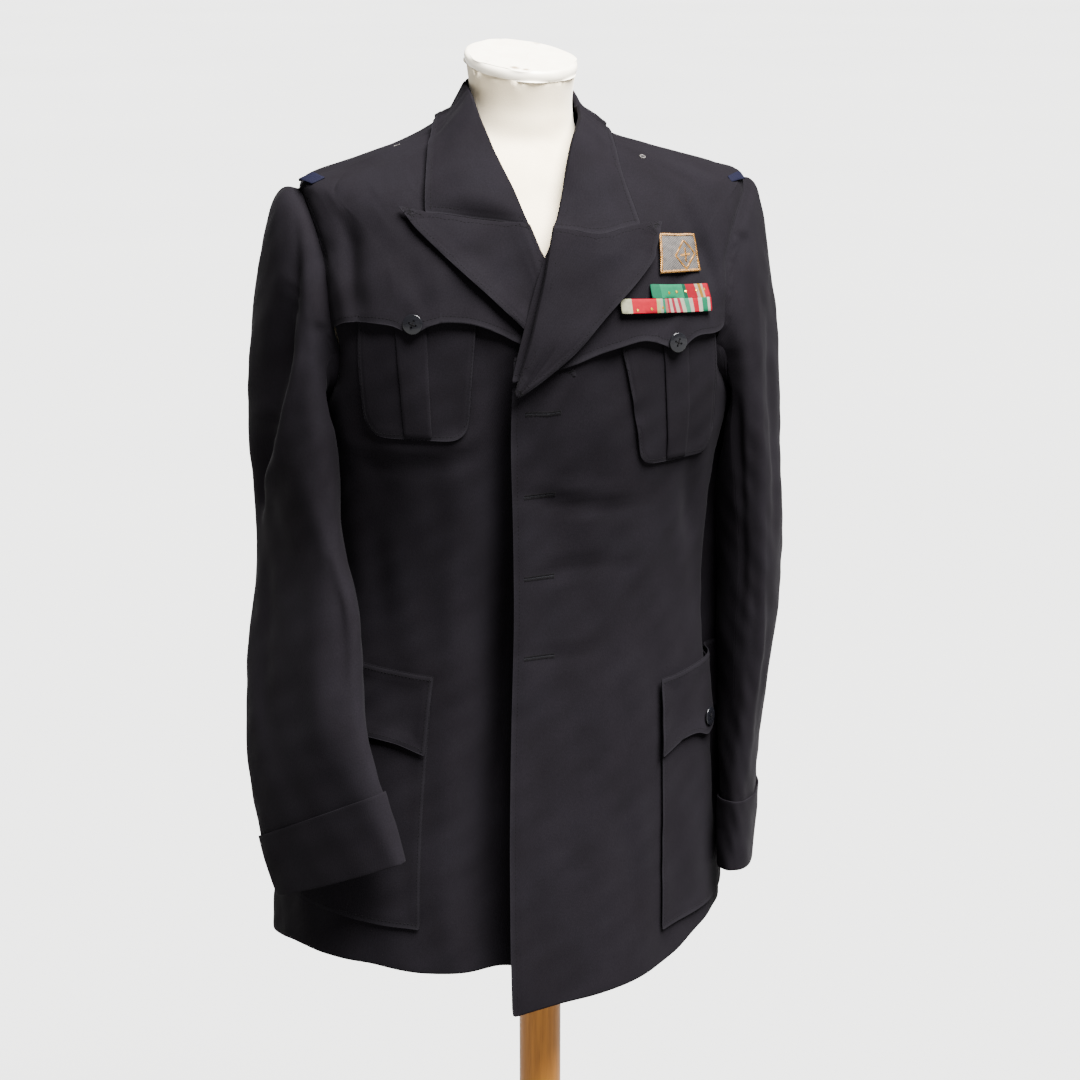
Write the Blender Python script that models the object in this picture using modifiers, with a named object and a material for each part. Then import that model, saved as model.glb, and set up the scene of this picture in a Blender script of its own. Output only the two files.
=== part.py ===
"""A uniform jacket worn by a limbless dress form on a wooden pole.

The jacket faces -Y, its wearer's left is +X, and the origin is the centre of the stand's underside.
Lengths are metres. Angles run round the jacket in degrees from the centre front, positive to the wearer's left.
"""

import math
from collections import namedtuple

import bmesh
import bpy
from mathutils import Vector

# Driving dimensions, in metres and degrees
RIGHT, LEFT = -1, 1
CLOTH = 0.0015
SEAM_GAP = 0.0003
LAYER = CLOTH + SEAM_GAP
SHOULDER_HEIGHT = 1.4145
NECK_SIDE_HEIGHT = 1.4670
ARMPIT_HEIGHT = 1.215
NOTCH_HEIGHT = 1.275
NOTCH_ANGLE = {RIGHT: 59.0, LEFT: 45.5}
BACK_NOTCH_ANGLE = 126.0
SIDE_SEAM_ANGLE = 97.0
SHOULDER_SEAM_ANGLE = 90.0
SEAM_TURN = 0.05
ARMHOLE_LOW_SHARE = 0.4
NECK_SHARE = 0.55
TURNS_PER_METRE = 300
ARMHOLE_RUN, ARMHOLE_BEND = 2.6, 1.05
PANEL_COLUMNS, SIDE_COLUMNS = 9, 4
LOWER_ROWS, BACK_ROWS, TUCK_ROWS = 10, 8, 2
YOKE_ROWS, YOKE_COLUMNS = 7, 18
SMOOTH_ANGLE = math.radians(40)

# The jacket's body: one row for each level section, front and back measured from the Z axis
Section = namedtuple("Section", "height centre_x half_width front back squareness")
BODY = (
    Section(0.660, -0.041, 0.2130, 0.152, 0.138, 2.30),
    Section(0.740, -0.040, 0.2090, 0.150, 0.138, 2.30),
    Section(0.850, -0.035, 0.2000, 0.147, 0.134, 2.30),
    Section(0.960, -0.027, 0.1870, 0.142, 0.125, 2.30),
    Section(1.060, -0.021, 0.1770, 0.137, 0.115, 2.30),
    Section(1.140, -0.018, 0.1800, 0.138, 0.114, 2.35),
    Section(1.220, -0.016, 0.1910, 0.142, 0.120, 2.45),
    Section(1.290, -0.015, 0.2000, 0.139, 0.124, 2.50),
    Section(1.340, -0.015, 0.2030, 0.130, 0.122, 2.50),
    Section(1.375, -0.015, 0.2030, 0.117, 0.115, 2.45),
    Section(1.400, -0.015, 0.2025, 0.101, 0.103, 2.40),
    Section(1.4145, -0.015, 0.2010, 0.089, 0.093, 2.30),
    Section(1.4270, -0.016, 0.1640, 0.079, 0.086, 2.20),
    Section(1.4415, -0.022, 0.1210, 0.064, 0.079, 2.20),
    Section(1.4560, -0.023, 0.0780, 0.048, 0.073, 2.20),
    Section(1.4720, -0.018, 0.0600, 0.034, 0.068, 2.20),
)

# Soft swells and hollows of the worn cloth: depth is outward, negative for a hollow
Fold = namedtuple("Fold", "angle height turn rise depth")
BODY_FOLDS = (
    Fold(-52.0, 1.120, 10.0, 0.110, -0.0030),
    Fold(50.0, 1.120, 10.0, 0.110, -0.0030),
    Fold(-18.0, 0.860, 9.0, 0.140, -0.0030),
    Fold(22.0, 0.900, 10.0, 0.160, 0.0030),
    Fold(-95.0, 0.760, 12.0, 0.120, 0.0040),
    Fold(150.0, 0.800, 12.0, 0.170, 0.0050),
    Fold(-150.0, 0.800, 12.0, 0.170, 0.0050),
    Fold(180.0, 0.780, 10.0, 0.150, -0.0030),
    Fold(128.0, 1.240, 9.0, 0.070, 0.0040),
    Fold(-128.0, 1.240, 9.0, 0.070, 0.0040),
)

# The left front laps over the right and swings forward towards its hem
Lap = namedtuple("Lap", "height rise")
LAP = (
    Lap(0.660, 0.024),
    Lap(0.760, 0.019),
    Lap(0.900, 0.011),
    Lap(1.050, 0.0065),
    Lap(1.150, 0.0062),
    Lap(1.220, 0.0090),
    Lap(1.290, 0.0105),
    Lap(1.370, 0.0095),
    Lap(1.405, 0.0030),
    Lap(1.430, 0.0),
)
LAP_FLAT_ANGLE, LAP_END_ANGLE = 10.0, 42.0

# Front edges from the hem up, and then the necklines to the side of the neck
EdgePoint = namedtuple("EdgePoint", "height angle")
NECKLINE_START = 1.367
NECKLINE_STEPS = 4
FRONT_EDGE = {
    LEFT: (
        EdgePoint(0.66, -5.2),
        EdgePoint(0.80, -6.6),
        EdgePoint(1.00, -9.5),
        EdgePoint(1.2462, -12.0),
        EdgePoint(NECKLINE_START, -1.8),
    ),
    RIGHT: (
        EdgePoint(0.66, 6.0),
        EdgePoint(1.00, 6.0),
        EdgePoint(1.2462, 6.0),
        EdgePoint(NECKLINE_START, -2.0),
    ),
}
NECKLINE = {
    LEFT: (
        EdgePoint(NECKLINE_START, -1.8),
        EdgePoint(1.388, 3.0),
        EdgePoint(1.412, 8.0),
        EdgePoint(1.438, 30.0),
        EdgePoint(1.457, 60.0),
    ),
    RIGHT: (
        EdgePoint(NECKLINE_START, -2.0),
        EdgePoint(1.388, -6.5),
        EdgePoint(1.412, -13.0),
        EdgePoint(1.438, -34.0),
        EdgePoint(1.457, -60.0),
    ),
}

# Hem heights round the jacket
HemPoint = namedtuple("HemPoint", "angle height")
HEM = {
    RIGHT: (
        HemPoint(-6.0, 0.719),
        HemPoint(7.0, 0.721),
        HemPoint(24.0, 0.721),
        HemPoint(45.0, 0.728),
        HemPoint(64.0, 0.728),
        HemPoint(97.0, 0.714),
        HemPoint(180.0, 0.716),
    ),
    LEFT: (
        HemPoint(-6.0, 0.688),
        HemPoint(6.0, 0.6955),
        HemPoint(16.0, 0.7005),
        HemPoint(27.0, 0.704),
        HemPoint(40.0, 0.714),
        HemPoint(49.0, 0.729),
        HemPoint(64.0, 0.737),
        HemPoint(97.0, 0.737),
        HemPoint(180.0, 0.716),
    ),
}

# The wavy lower edge of each front yoke, from the lapel to the armhole
YokePoint = namedtuple("YokePoint", "angle height")
YOKE_EDGE = {
    RIGHT: (
        YokePoint(-3.3, 1.2860),
        YokePoint(8.0, 1.2910),
        YokePoint(14.0, 1.3010),
        YokePoint(20.5, 1.3090),
        YokePoint(27.5, 1.3110),
        YokePoint(31.5, 1.3060),
        YokePoint(34.1, 1.2985),
        YokePoint(36.6, 1.3045),
        YokePoint(40.0, 1.3080),
        YokePoint(48.3, 1.3095),
        YokePoint(59.0, 1.3005),
    ),
    LEFT: (
        YokePoint(-10.8, 1.2620),
        YokePoint(3.0, 1.2738),
        YokePoint(8.0, 1.2800),
        YokePoint(13.2, 1.2860),
        YokePoint(20.8, 1.2912),
        YokePoint(26.0, 1.2860),
        YokePoint(29.5, 1.2768),
        YokePoint(32.0, 1.2850),
        YokePoint(34.6, 1.2910),
        YokePoint(41.0, 1.2905),
        YokePoint(46.0, 1.2960),
    ),
}
YOKE_ARMHOLE_SHARE = {RIGHT: 0.475, LEFT: 0.463}
YOKE_LIFT = 0.0036
YOKE_SWELL = 0.0042
YOKE_RISE = 0.055
YOKE_TUCK = 0.010
TUCK_LEAST = 0.003

# Lapels: the roll line and the outer edge, from the gorge down to where the front buttons
LapelRow = namedtuple("LapelRow", "fold_x fold_height edge_x edge_height")
LAPEL = {
    RIGHT: (
        LapelRow(-0.0335, 1.3850, -0.1404, 1.3991),
        LapelRow(-0.0300, 1.3760, -0.1290, 1.3840),
        LapelRow(-0.0255, 1.3640, -0.1036, 1.3594),
        LapelRow(-0.0190, 1.3420, -0.0718, 1.3305),
        LapelRow(-0.0110, 1.3120, -0.0447, 1.3041),
        LapelRow(-0.0040, 1.2800, -0.0200, 1.2760),
        LapelRow(-0.0010, 1.2640, -0.0080, 1.2620),
    ),
    LEFT: (
        LapelRow(-0.0165, 1.3790, 0.0801, 1.3817),
        LapelRow(-0.0190, 1.3715, 0.0735, 1.3660),
        LapelRow(-0.0225, 1.3600, 0.0677, 1.3530),
        LapelRow(-0.0310, 1.3300, 0.0322, 1.3206),
        LapelRow(-0.0410, 1.2960, -0.0064, 1.2811),
        LapelRow(-0.0490, 1.2700, -0.0359, 1.2577),
        LapelRow(-0.0545, 1.2520, -0.0515, 1.2475),
    ),
}
LAPEL_DIP = {RIGHT: 0.0, LEFT: -0.0065}
LAPEL_LIFT = 0.0022
GORGE_GAP = 0.0004
LAPEL_ROLL = {RIGHT: 0.0023, LEFT: 0.0034}
LAPEL_RETURN = 0.006
LEAST_ROLL, FULL_ROLL_WIDTH, LEAF_FALL = 0.0020, 0.03, 0.35
LEAF_SHARES = (1.0, 0.8, 0.64, 0.48, 0.32, 0.16, 0.0)
NOTCH_SHARE = 0.8
LAPEL_STATIONS = (0.0, 0.5, 1.0, 1.5, 2.0, 2.5, 3.0, 3.5, 4.0, 5.0, 6.0)

# Collar stations from the right gorge round the back of the neck to the left gorge
CollarRow = namedtuple("CollarRow", "fold_x fold_y fold_height edge_x edge_y edge_height stand bulge")
COLLAR = (
    CollarRow(-0.0335, -0.1200, 1.3862, -0.1204, -0.0970, 1.4028, 0.006, 0.0060),
    CollarRow(-0.0400, -0.1090, 1.4060, -0.1180, -0.0860, 1.4160, 0.012, 0.0090),
    CollarRow(-0.0470, -0.0980, 1.4240, -0.1137, -0.0690, 1.4325, 0.018, 0.0090),
    CollarRow(-0.0597, -0.0700, 1.4571, -0.1065, -0.0400, 1.4500, 0.026, 0.0060),
    CollarRow(-0.0670, -0.0400, 1.4840, -0.0985, -0.0160, 1.4600, 0.026, 0.0030),
    CollarRow(-0.0680, -0.0080, 1.4970, -0.0900, 0.0040, 1.4610, 0.028, 0.0010),
    CollarRow(-0.0645, 0.0200, 1.5000, -0.0820, 0.0290, 1.4600, 0.028, 0.0010),
    CollarRow(-0.0500, 0.0450, 1.5020, -0.0620, 0.0580, 1.4590, 0.028, 0.0020),
    CollarRow(-0.0165, 0.0580, 1.5030, -0.0165, 0.0740, 1.4580, 0.028, 0.0020),
    CollarRow(0.0180, 0.0450, 1.5000, 0.0290, 0.0580, 1.4560, 0.028, 0.0020),
    CollarRow(0.0315, 0.0200, 1.4930, 0.0470, 0.0290, 1.4560, 0.027, 0.0010),
    CollarRow(0.0330, -0.0080, 1.4850, 0.0510, 0.0020, 1.4560, 0.025, 0.0010),
    CollarRow(0.0290, -0.0400, 1.4730, 0.0550, -0.0200, 1.4530, 0.024, 0.0030),
    CollarRow(0.0139, -0.0750, 1.4558, 0.0540, -0.0470, 1.4450, 0.025, 0.0060),
    CollarRow(-0.0015, -0.1030, 1.4156, 0.0545, -0.0850, 1.4270, 0.018, 0.0080),
    CollarRow(-0.0090, -0.1160, 1.3970, 0.0575, -0.0990, 1.4070, 0.012, 0.0080),
    CollarRow(-0.0165, -0.1270, 1.3802, 0.0600, -0.1130, 1.3872, 0.006, 0.0060),
)
COLLAR_ROLL = 0.0024
COLLAR_GAP = {RIGHT: 0.0008, LEFT: 0.0018}
COLLAR_STATIONS = 25

# Sleeves: level sections below the armpit. Yaw turns the front end of the wide way towards the other sleeve,
# and tilt is the front end's rise for each metre of the wide way
SleeveRow = namedtuple("SleeveRow", "height centre_x centre_y half_wide half_thick yaw tilt")
SLEEVE = {
    RIGHT: (
        SleeveRow(1.190, -0.2270, -0.002, 0.087, 0.0330, 9.0, 0.00),
        SleeveRow(1.140, -0.2265, -0.010, 0.083, 0.0290, 12.0, 0.03),
        SleeveRow(1.098, -0.2250, -0.022, 0.080, 0.0245, 16.0, 0.08),
        SleeveRow(1.055, -0.2250, -0.040, 0.080, 0.0260, 22.0, 0.14),
        SleeveRow(1.000, -0.2290, -0.062, 0.078, 0.0260, 29.0, 0.20),
        SleeveRow(0.930, -0.2320, -0.086, 0.075, 0.0255, 34.0, 0.38),
        SleeveRow(0.870, -0.2230, -0.108, 0.071, 0.0220, 40.0, 0.50),
        SleeveRow(0.812, -0.2085, -0.124, 0.068, 0.0200, 44.0, 0.43),
    ),
    LEFT: (
        SleeveRow(1.190, 0.1890, -0.018, 0.086, 0.0310, 14.0, 0.00),
        SleeveRow(1.125, 0.1945, -0.022, 0.083, 0.0300, 14.0, 0.02),
        SleeveRow(1.065, 0.1965, -0.026, 0.081, 0.0275, 14.0, 0.04),
        SleeveRow(1.008, 0.1950, -0.029, 0.079, 0.0245, 15.0, 0.06),
        SleeveRow(0.950, 0.1925, -0.032, 0.077, 0.0200, 16.0, 0.08),
        SleeveRow(0.890, 0.1870, -0.035, 0.074, 0.0175, 17.0, 0.09),
        SleeveRow(0.830, 0.1830, -0.038, 0.071, 0.0170, 17.0, 0.09),
        SleeveRow(0.776, 0.1800, -0.040, 0.069, 0.0165, 17.0, 0.09),
    ),
}
SLEEVE_SQUARENESS = 2.2
SLEEVE_RING = 24
HEAD_RINGS = 6
ARM_RINGS, CUFF_RINGS = 9, 3

# How the sleeve leaves the armhole and reaches its first section: its head is over the shoulder, its foot
# under the arm
HEAD_START = {RIGHT: Vector((0.118, 0.0, 0.060)), LEFT: Vector((0.064, 0.0, 0.045))}
FOOT_START = Vector((0.055, 0.0, -0.015))
HEAD_END, FOOT_END, HEAD_SPREAD = 0.16, 0.03, 0.7
SLEEVE_CLEARANCE, POCKET_CLEARANCE = 0.0040, 0.0122
CLEARANCE_START, CLEARANCE_END = 1.05, 0.99
FRONT_SEAM, BACK_SEAM = 0.33, 0.70
CUFF_DEPTH = {RIGHT: 0.055, LEFT: 0.066}
ARMHOLE_EASE = 0.0010
CUFF_GAP = 0.0009

# Pockets as angles and heights at their four corners
Patch = namedtuple("Patch", "inner_top outer_top inner_base outer_base top base lean")
CHEST_POCKET = {
    RIGHT: Patch(19.2, 49.0, 22.0, 51.0, 1.3125, 1.2085, 0.0),
    LEFT: Patch(14.6, 43.0, 21.6, 48.5, 1.2935, 1.1815, 0.0),
}
CHEST_PLEAT = {
    RIGHT: Patch(31.2, 38.5, 31.8, 38.8, 1.3060, 1.2105, 0.0),
    LEFT: Patch(26.0, 33.0, 31.0, 38.0, 1.2850, 1.1835, 0.0),
}
LOWER_POCKET = {
    RIGHT: Patch(31.2, 86.0, 27.8, 82.0, 0.9890, 0.7640, 0.012),
    LEFT: Patch(34.5, 88.0, 34.6, 85.0, 0.9720, 0.7420, 0.018),
}
POCKET_LIFT = 0.0022
FLAP_LIFT = 2 * POCKET_LIFT - 0.0003
FLAP_HANG = 0.0012
FLAP_DEPTH = 0.062
FLAP_OVERLAP = 0.006
FLAP_COLUMNS, FLAP_ROWS = 14, 3
FLAP_POINT, FLAP_POINT_TURN = 0.010, 5.0
FLAP_CORNER, FLAP_CORNER_SHARE = 0.008, 0.10
POCKET_CORNER = 0.020
ROUNDED_SHARES = (0.0, 0.025, 0.08, 0.17, 0.34, 0.5, 0.66, 0.83, 0.92, 0.975, 1.0)
ROUNDED_REACH = 0.36

# Buttons: the button's radius, and where each sits
BUTTON_RADIUS = 0.0095
BUTTON_THICKNESS = 0.0032
BUTTON_HOLE_RADIUS = 0.0009
BUTTON_HOLE_OFFSET = 0.0021
BUTTON_SIDES = 16
ButtonSpot = namedtuple("ButtonSpot", "angle height gap")
CHEST_BUTTON = {RIGHT: ButtonSpot(33.9, 1.3075, 0.0006), LEFT: ButtonSpot(28.9, 1.2865, 0.0015)}
LOWER_BUTTON = {RIGHT: ButtonSpot(57.0, 0.9390, 0.0012), LEFT: ButtonSpot(55.0, 0.9285, 0.0003)}

# The badge, the ribbon bars and the shoulder loops
BADGE = Patch(26.1, 36.6, 25.4, 37.2, 1.3740, 1.3435, 0.0)
UPPER_RIBBONS = Patch(22.4, 39.2, 22.4, 39.2, 1.3345, 1.3235, -0.003)
LOWER_RIBBONS = Patch(14.6, 39.2, 14.6, 39.2, 1.3235, 1.3125, -0.003)
SHOULDER_LOOP = {
    RIGHT: Patch(70.0, 89.0, 70.0, 89.0, 1.4200, 1.4160, 0.0),
    LEFT: Patch(58.0, 72.0, 58.0, 72.0, 1.4165, 1.4125, 0.0),
}
LOOP_ARCH = 0.003
LOOP_LIFT = {RIGHT: LAYER, LEFT: CLOTH - 0.0006}
TRIM_LIFT = CLOTH + 0.0014
BADGE_THICKNESS, RIBBON_THICKNESS, LOOP_THICKNESS = 0.0025, 0.0018, 0.0010

# The dress form and its stand
FORM_BASE = 0.800
FORM_EASE = 0.006
FORM_TOUCH = 0.0005
FORM_TOUCH_TURN = 13.0
FORM_SIDES = 28
NECK_RADIUS = 0.0485
NECK_CENTRE = (-0.0165, 0.004)
CAP_HEIGHT = 1.5133
CAP_SLOPE = (-0.060, 0.220)
CapRow = namedtuple("CapRow", "rise scale")
CAP = (
    CapRow(SEAM_GAP, 1.000),
    CapRow(0.0010, 1.018),
    CapRow(0.0045, 1.035),
    CapRow(0.0080, 1.022),
    CapRow(0.0095, 0.975),
)
FORM_LEVELS = (
    0.804, 0.812, 0.840, 0.920, 1.040, 1.160, 1.250, 1.310, 1.350, 1.380, 1.400, 1.412, 1.425, 1.440,
)
FORM_NARROWING = 0.12
FORM_TOP = 1.460
NeckRow = namedtuple("NeckRow", "height share scale tilt")
NECK = (
    NeckRow(1.4500, 0.55, 0.985, 0.00),
    NeckRow(1.4600, 0.90, 0.985, 0.05),
    NeckRow(1.4720, 1.00, 0.955, 0.20),
    NeckRow(1.4880, 1.00, 0.935, 0.60),
    NeckRow(1.5133, 1.00, 1.000, 1.00),
)
POLE_RADIUS = 0.020
BASE_RADIUS = 0.170
BASE_THICKNESS = 0.028
BASE_EDGE = 0.006


# Interpolation


def eased(value, start, stop):
    """0 at start and 1 at stop, level at both ends."""
    share = min(1.0, max(0.0, (value - start) / (stop - start)))
    return share * share * (3 - 2 * share)


def blend(first, second, share):
    return first + (second - first) * share


def slope_at(before, after):
    """The slope at a row between two spans, level at a turning point, so that nothing overshoots."""
    return 0.0 if before * after <= 0 else 2 * before * after / (before + after)


def at(rows, key):
    """The row of a table at a value of its first column, eased smoothly through the rows."""
    keys = [row[0] for row in rows]
    if key <= keys[0]:
        return rows[0]
    if key >= keys[-1]:
        return rows[-1]
    last = len(rows) - 1
    low = max(index for index in range(last) if keys[index] <= key)
    span = keys[low + 1] - keys[low]
    share = (key - keys[low]) / span
    values = [key]
    for column in range(1, len(rows[0])):
        steps = [(rows[i + 1][column] - rows[i][column]) / (keys[i + 1] - keys[i]) for i in range(last)]
        start = slope_at(steps[low - 1], steps[low]) if low > 0 else steps[0]
        stop = slope_at(steps[low], steps[low + 1]) if low + 1 < last else steps[-1]
        rest = 1 - share
        values.append(
            rest * rest * (1 + 2 * share) * rows[low][column]
            + share * share * (3 - 2 * share) * rows[low + 1][column]
            + share * rest * rest * span * start
            - share * share * rest * span * stop
        )
    return type(rows[0])(*values)


def along(points, share):
    """A point at a share of a polyline's own length, straight between its points."""
    lengths = [(points[i + 1] - points[i]).length for i in range(len(points) - 1)]
    left = share * sum(lengths)
    for index, length in enumerate(lengths):
        if left <= length or index == len(lengths) - 1:
            return points[index].lerp(points[index + 1], min(1.0, left / length))
        left -= length


# The jacket's surface


def fold_depth(angle, height):
    depth = 0.0
    for fold in BODY_FOLDS:
        turn = (angle - fold.angle + 180) % 360 - 180
        reach = (turn / fold.turn) ** 2 + ((height - fold.height) / fold.rise) ** 2
        depth += fold.depth * math.exp(-reach)
    return depth


def bare_point(angle, height):
    section = at(BODY, height)
    turn = math.radians(angle)
    across, forward = math.sin(turn), math.cos(turn)
    power = section.squareness
    reach = (abs(across) ** power + abs(forward) ** power) ** (-1 / power)
    depth = section.front if forward > 0 else section.back
    return Vector((section.centre_x + section.half_width * reach * across, -depth * reach * forward, height))


def outward(angle, height):
    turn, rise = 0.5, 0.002
    sideways = bare_point(angle + turn, height) - bare_point(angle - turn, height)
    upward = bare_point(angle, height + rise) - bare_point(angle, height - rise)
    return sideways.cross(upward).normalized()


def body_point(angle, height, lift=0.0):
    """A point of the jacket's inner face, moved out by the lift."""
    return bare_point(angle, height) + outward(angle, height) * (lift + fold_depth(angle, height))


def angle_at(x, height):
    """The angle of the front's point that lies a distance across."""
    section = at(BODY, height)
    across = max(-0.999, min(0.999, (x - section.centre_x) / section.half_width))
    forward = (1 - abs(across) ** section.squareness) ** (1 / section.squareness)
    return math.degrees(math.atan2(across, forward))


def lap_rise(side, angle, height):
    """How far the left front stands off the right one."""
    if side == RIGHT:
        return 0.0
    return at(LAP, height).rise * (1 - eased(angle, LAP_FLAT_ANGLE, LAP_END_ANGLE))


def panel_point(side, turn, height, lift):
    """A point on one side's panels: turn is positive from the centre front towards that side."""
    angle = side * turn
    return body_point(angle, height, lift + lap_rise(side, angle, height))


def pushed_clear(point, lift):
    """The point, moved out where it is nearer the jacket's body than the lift."""
    section = at(BODY, point.z)
    across = (point.x - section.centre_x) / section.half_width
    forward = -point.y / (section.front if point.y < 0 else section.back)
    angle = math.degrees(math.atan2(across, forward))
    surface = body_point(angle, point.z)
    normal = outward(angle, point.z)
    short = lift - (point - surface).dot(normal)
    return point + normal * short if short > 0 else point


# Building solids


def material(name, colour, roughness, metallic=0.0):
    made = bpy.data.materials.new(name)
    made.use_nodes = True
    shader = made.node_tree.nodes["Principled BSDF"]
    shader.inputs["Base Color"].default_value = (*colour, 1.0)
    shader.inputs["Roughness"].default_value = roughness
    shader.inputs["Metallic"].default_value = metallic
    made.diffuse_color = (*colour, 1.0)
    return made


def add_object(name, mesh, finish, collection):
    mesh.materials.clear()
    mesh.materials.append(finish)
    made = bpy.data.objects.new(name, mesh)
    collection.objects.link(made)
    return made


def wall(name, outer, inner, finish, collection, wrap=False, cells=None):
    """A closed cloth wall between two grids of points, with a rim round every open edge.

    wrap joins the last column to the first, and cells says which cells of the grid are cloth.
    """
    rows, columns = len(outer), len(outer[0])
    across = columns if wrap else columns - 1
    shape = bmesh.new()
    faces = []
    for grid in (outer, inner):
        faces.append([[point and shape.verts.new(point) for point in row] for row in grid])
    sides = {}
    for row in range(rows - 1):
        for column in range(across):
            if cells and not cells(row, column):
                continue
            beside = (column + 1) % columns
            corners = [(row, column), (row, beside), (row + 1, beside), (row + 1, column)]
            first, second, third, fourth = (Vector(outer[i][j]) for i, j in corners)
            turned = (first - third).length > (second - fourth).length
            ends = corners[1:] + corners[:1] if turned else corners
            for triangle in ((ends[0], ends[1], ends[2]), (ends[0], ends[2], ends[3])):
                shape.faces.new([faces[0][i][j] for i, j in triangle])
                shape.faces.new([faces[1][i][j] for i, j in triangle[::-1]])
            for start, stop in zip(corners, corners[1:] + corners[:1]):
                if (stop, start) in sides:
                    del sides[stop, start]
                else:
                    sides[start, stop] = True
    for start, stop in sides:
        (row, column), (next_row, next_column) = start, stop
        near = [faces[layer][row][column] for layer in (0, 1)]
        far = [faces[layer][next_row][next_column] for layer in (1, 0)]
        shape.faces.new(near + far)
    loose = [vertex for vertex in shape.verts if not vertex.link_faces]
    bmesh.ops.delete(shape, geom=loose, context="VERTS")
    bmesh.ops.recalc_face_normals(shape, faces=shape.faces)
    mesh = bpy.data.meshes.new(name)
    shape.to_mesh(mesh)
    shape.free()
    mesh.shade_smooth()
    mesh.set_sharp_from_angle(angle=SMOOTH_ANGLE)
    return add_object(name, mesh, finish, collection)


def capped_rings(name, rings, finish, collection):
    """A solid through closed rings, with a flat cap at each end."""
    shape = bmesh.new()
    loops = [[shape.verts.new(point) for point in ring] for ring in rings]
    count = len(loops[0])
    for lower, upper in zip(loops, loops[1:]):
        for index in range(count):
            following = (index + 1) % count
            shape.faces.new([lower[index], lower[following], upper[following], upper[index]])
    shape.faces.new(loops[0][::-1])
    shape.faces.new(loops[-1])
    bmesh.ops.recalc_face_normals(shape, faces=shape.faces)
    mesh = bpy.data.meshes.new(name)
    shape.to_mesh(mesh)
    shape.free()
    mesh.shade_smooth()
    mesh.set_sharp_from_angle(angle=SMOOTH_ANGLE)
    return add_object(name, mesh, finish, collection)


# Body panels


def hem_height(side, turn):
    return at(HEM[side], turn).height


def armhole(side, share, front=True):
    """The armhole in (turn, height), from the armpit (0) through the notch to the shoulder (1)."""
    notch = NOTCH_ANGLE[side] if front else BACK_NOTCH_ANGLE
    if share < ARMHOLE_LOW_SHARE:
        quarter = math.pi / 2 * share / ARMHOLE_LOW_SHARE
        turn = blend(SIDE_SEAM_ANGLE, notch, math.sin(quarter))
        return Vector((turn, blend(NOTCH_HEIGHT, ARMPIT_HEIGHT, math.cos(quarter))))
    rise = (share - ARMHOLE_LOW_SHARE) / (1 - ARMHOLE_LOW_SHARE)
    turn = blend(notch, SHOULDER_SEAM_ANGLE, rise**ARMHOLE_RUN)
    return Vector((turn, blend(NOTCH_HEIGHT, SHOULDER_HEIGHT, math.sin(rise * math.pi / 2) ** ARMHOLE_BEND)))


def coons(bottom, top, start, stop, across, up):
    """A point of the patch inside four curves, each a function of a share from 0 to 1."""
    low, high = bottom(across), top(across)
    near, far = start(up), stop(up)
    corners = blend(blend(bottom(0), bottom(1), across), blend(top(0), top(1), across), up)
    return blend(low, high, up) + blend(near, far, across) - corners


def front_edge_turn(side, height):
    return side * at(FRONT_EDGE[side], height).angle


def neck_curve(side, from_height):
    """From a height on the front edge round to the side of the neck, in (turn, height)."""
    heights = [blend(from_height, NECKLINE_START, step / NECKLINE_STEPS) for step in range(NECKLINE_STEPS)]
    points = [Vector((front_edge_turn(side, height), height)) for height in heights]
    points += [Vector((side * point.angle, point.height)) for point in NECKLINE[side]]
    points.append(Vector((SHOULDER_SEAM_ANGLE - SEAM_TURN, NECK_SIDE_HEIGHT)))
    weighted = [Vector((point.x / TURNS_PER_METRE, point.y)) for point in points]

    def curve(share):
        spot = along(weighted, share)
        return Vector((spot.x * TURNS_PER_METRE, spot.y))

    return curve


def shoulder_curve(share):
    """The shoulder seam from the side of the neck out to the armhole, in (turn, height)."""
    return Vector((SHOULDER_SEAM_ANGLE, blend(NECK_SIDE_HEIGHT, SHOULDER_HEIGHT, share)))


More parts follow.
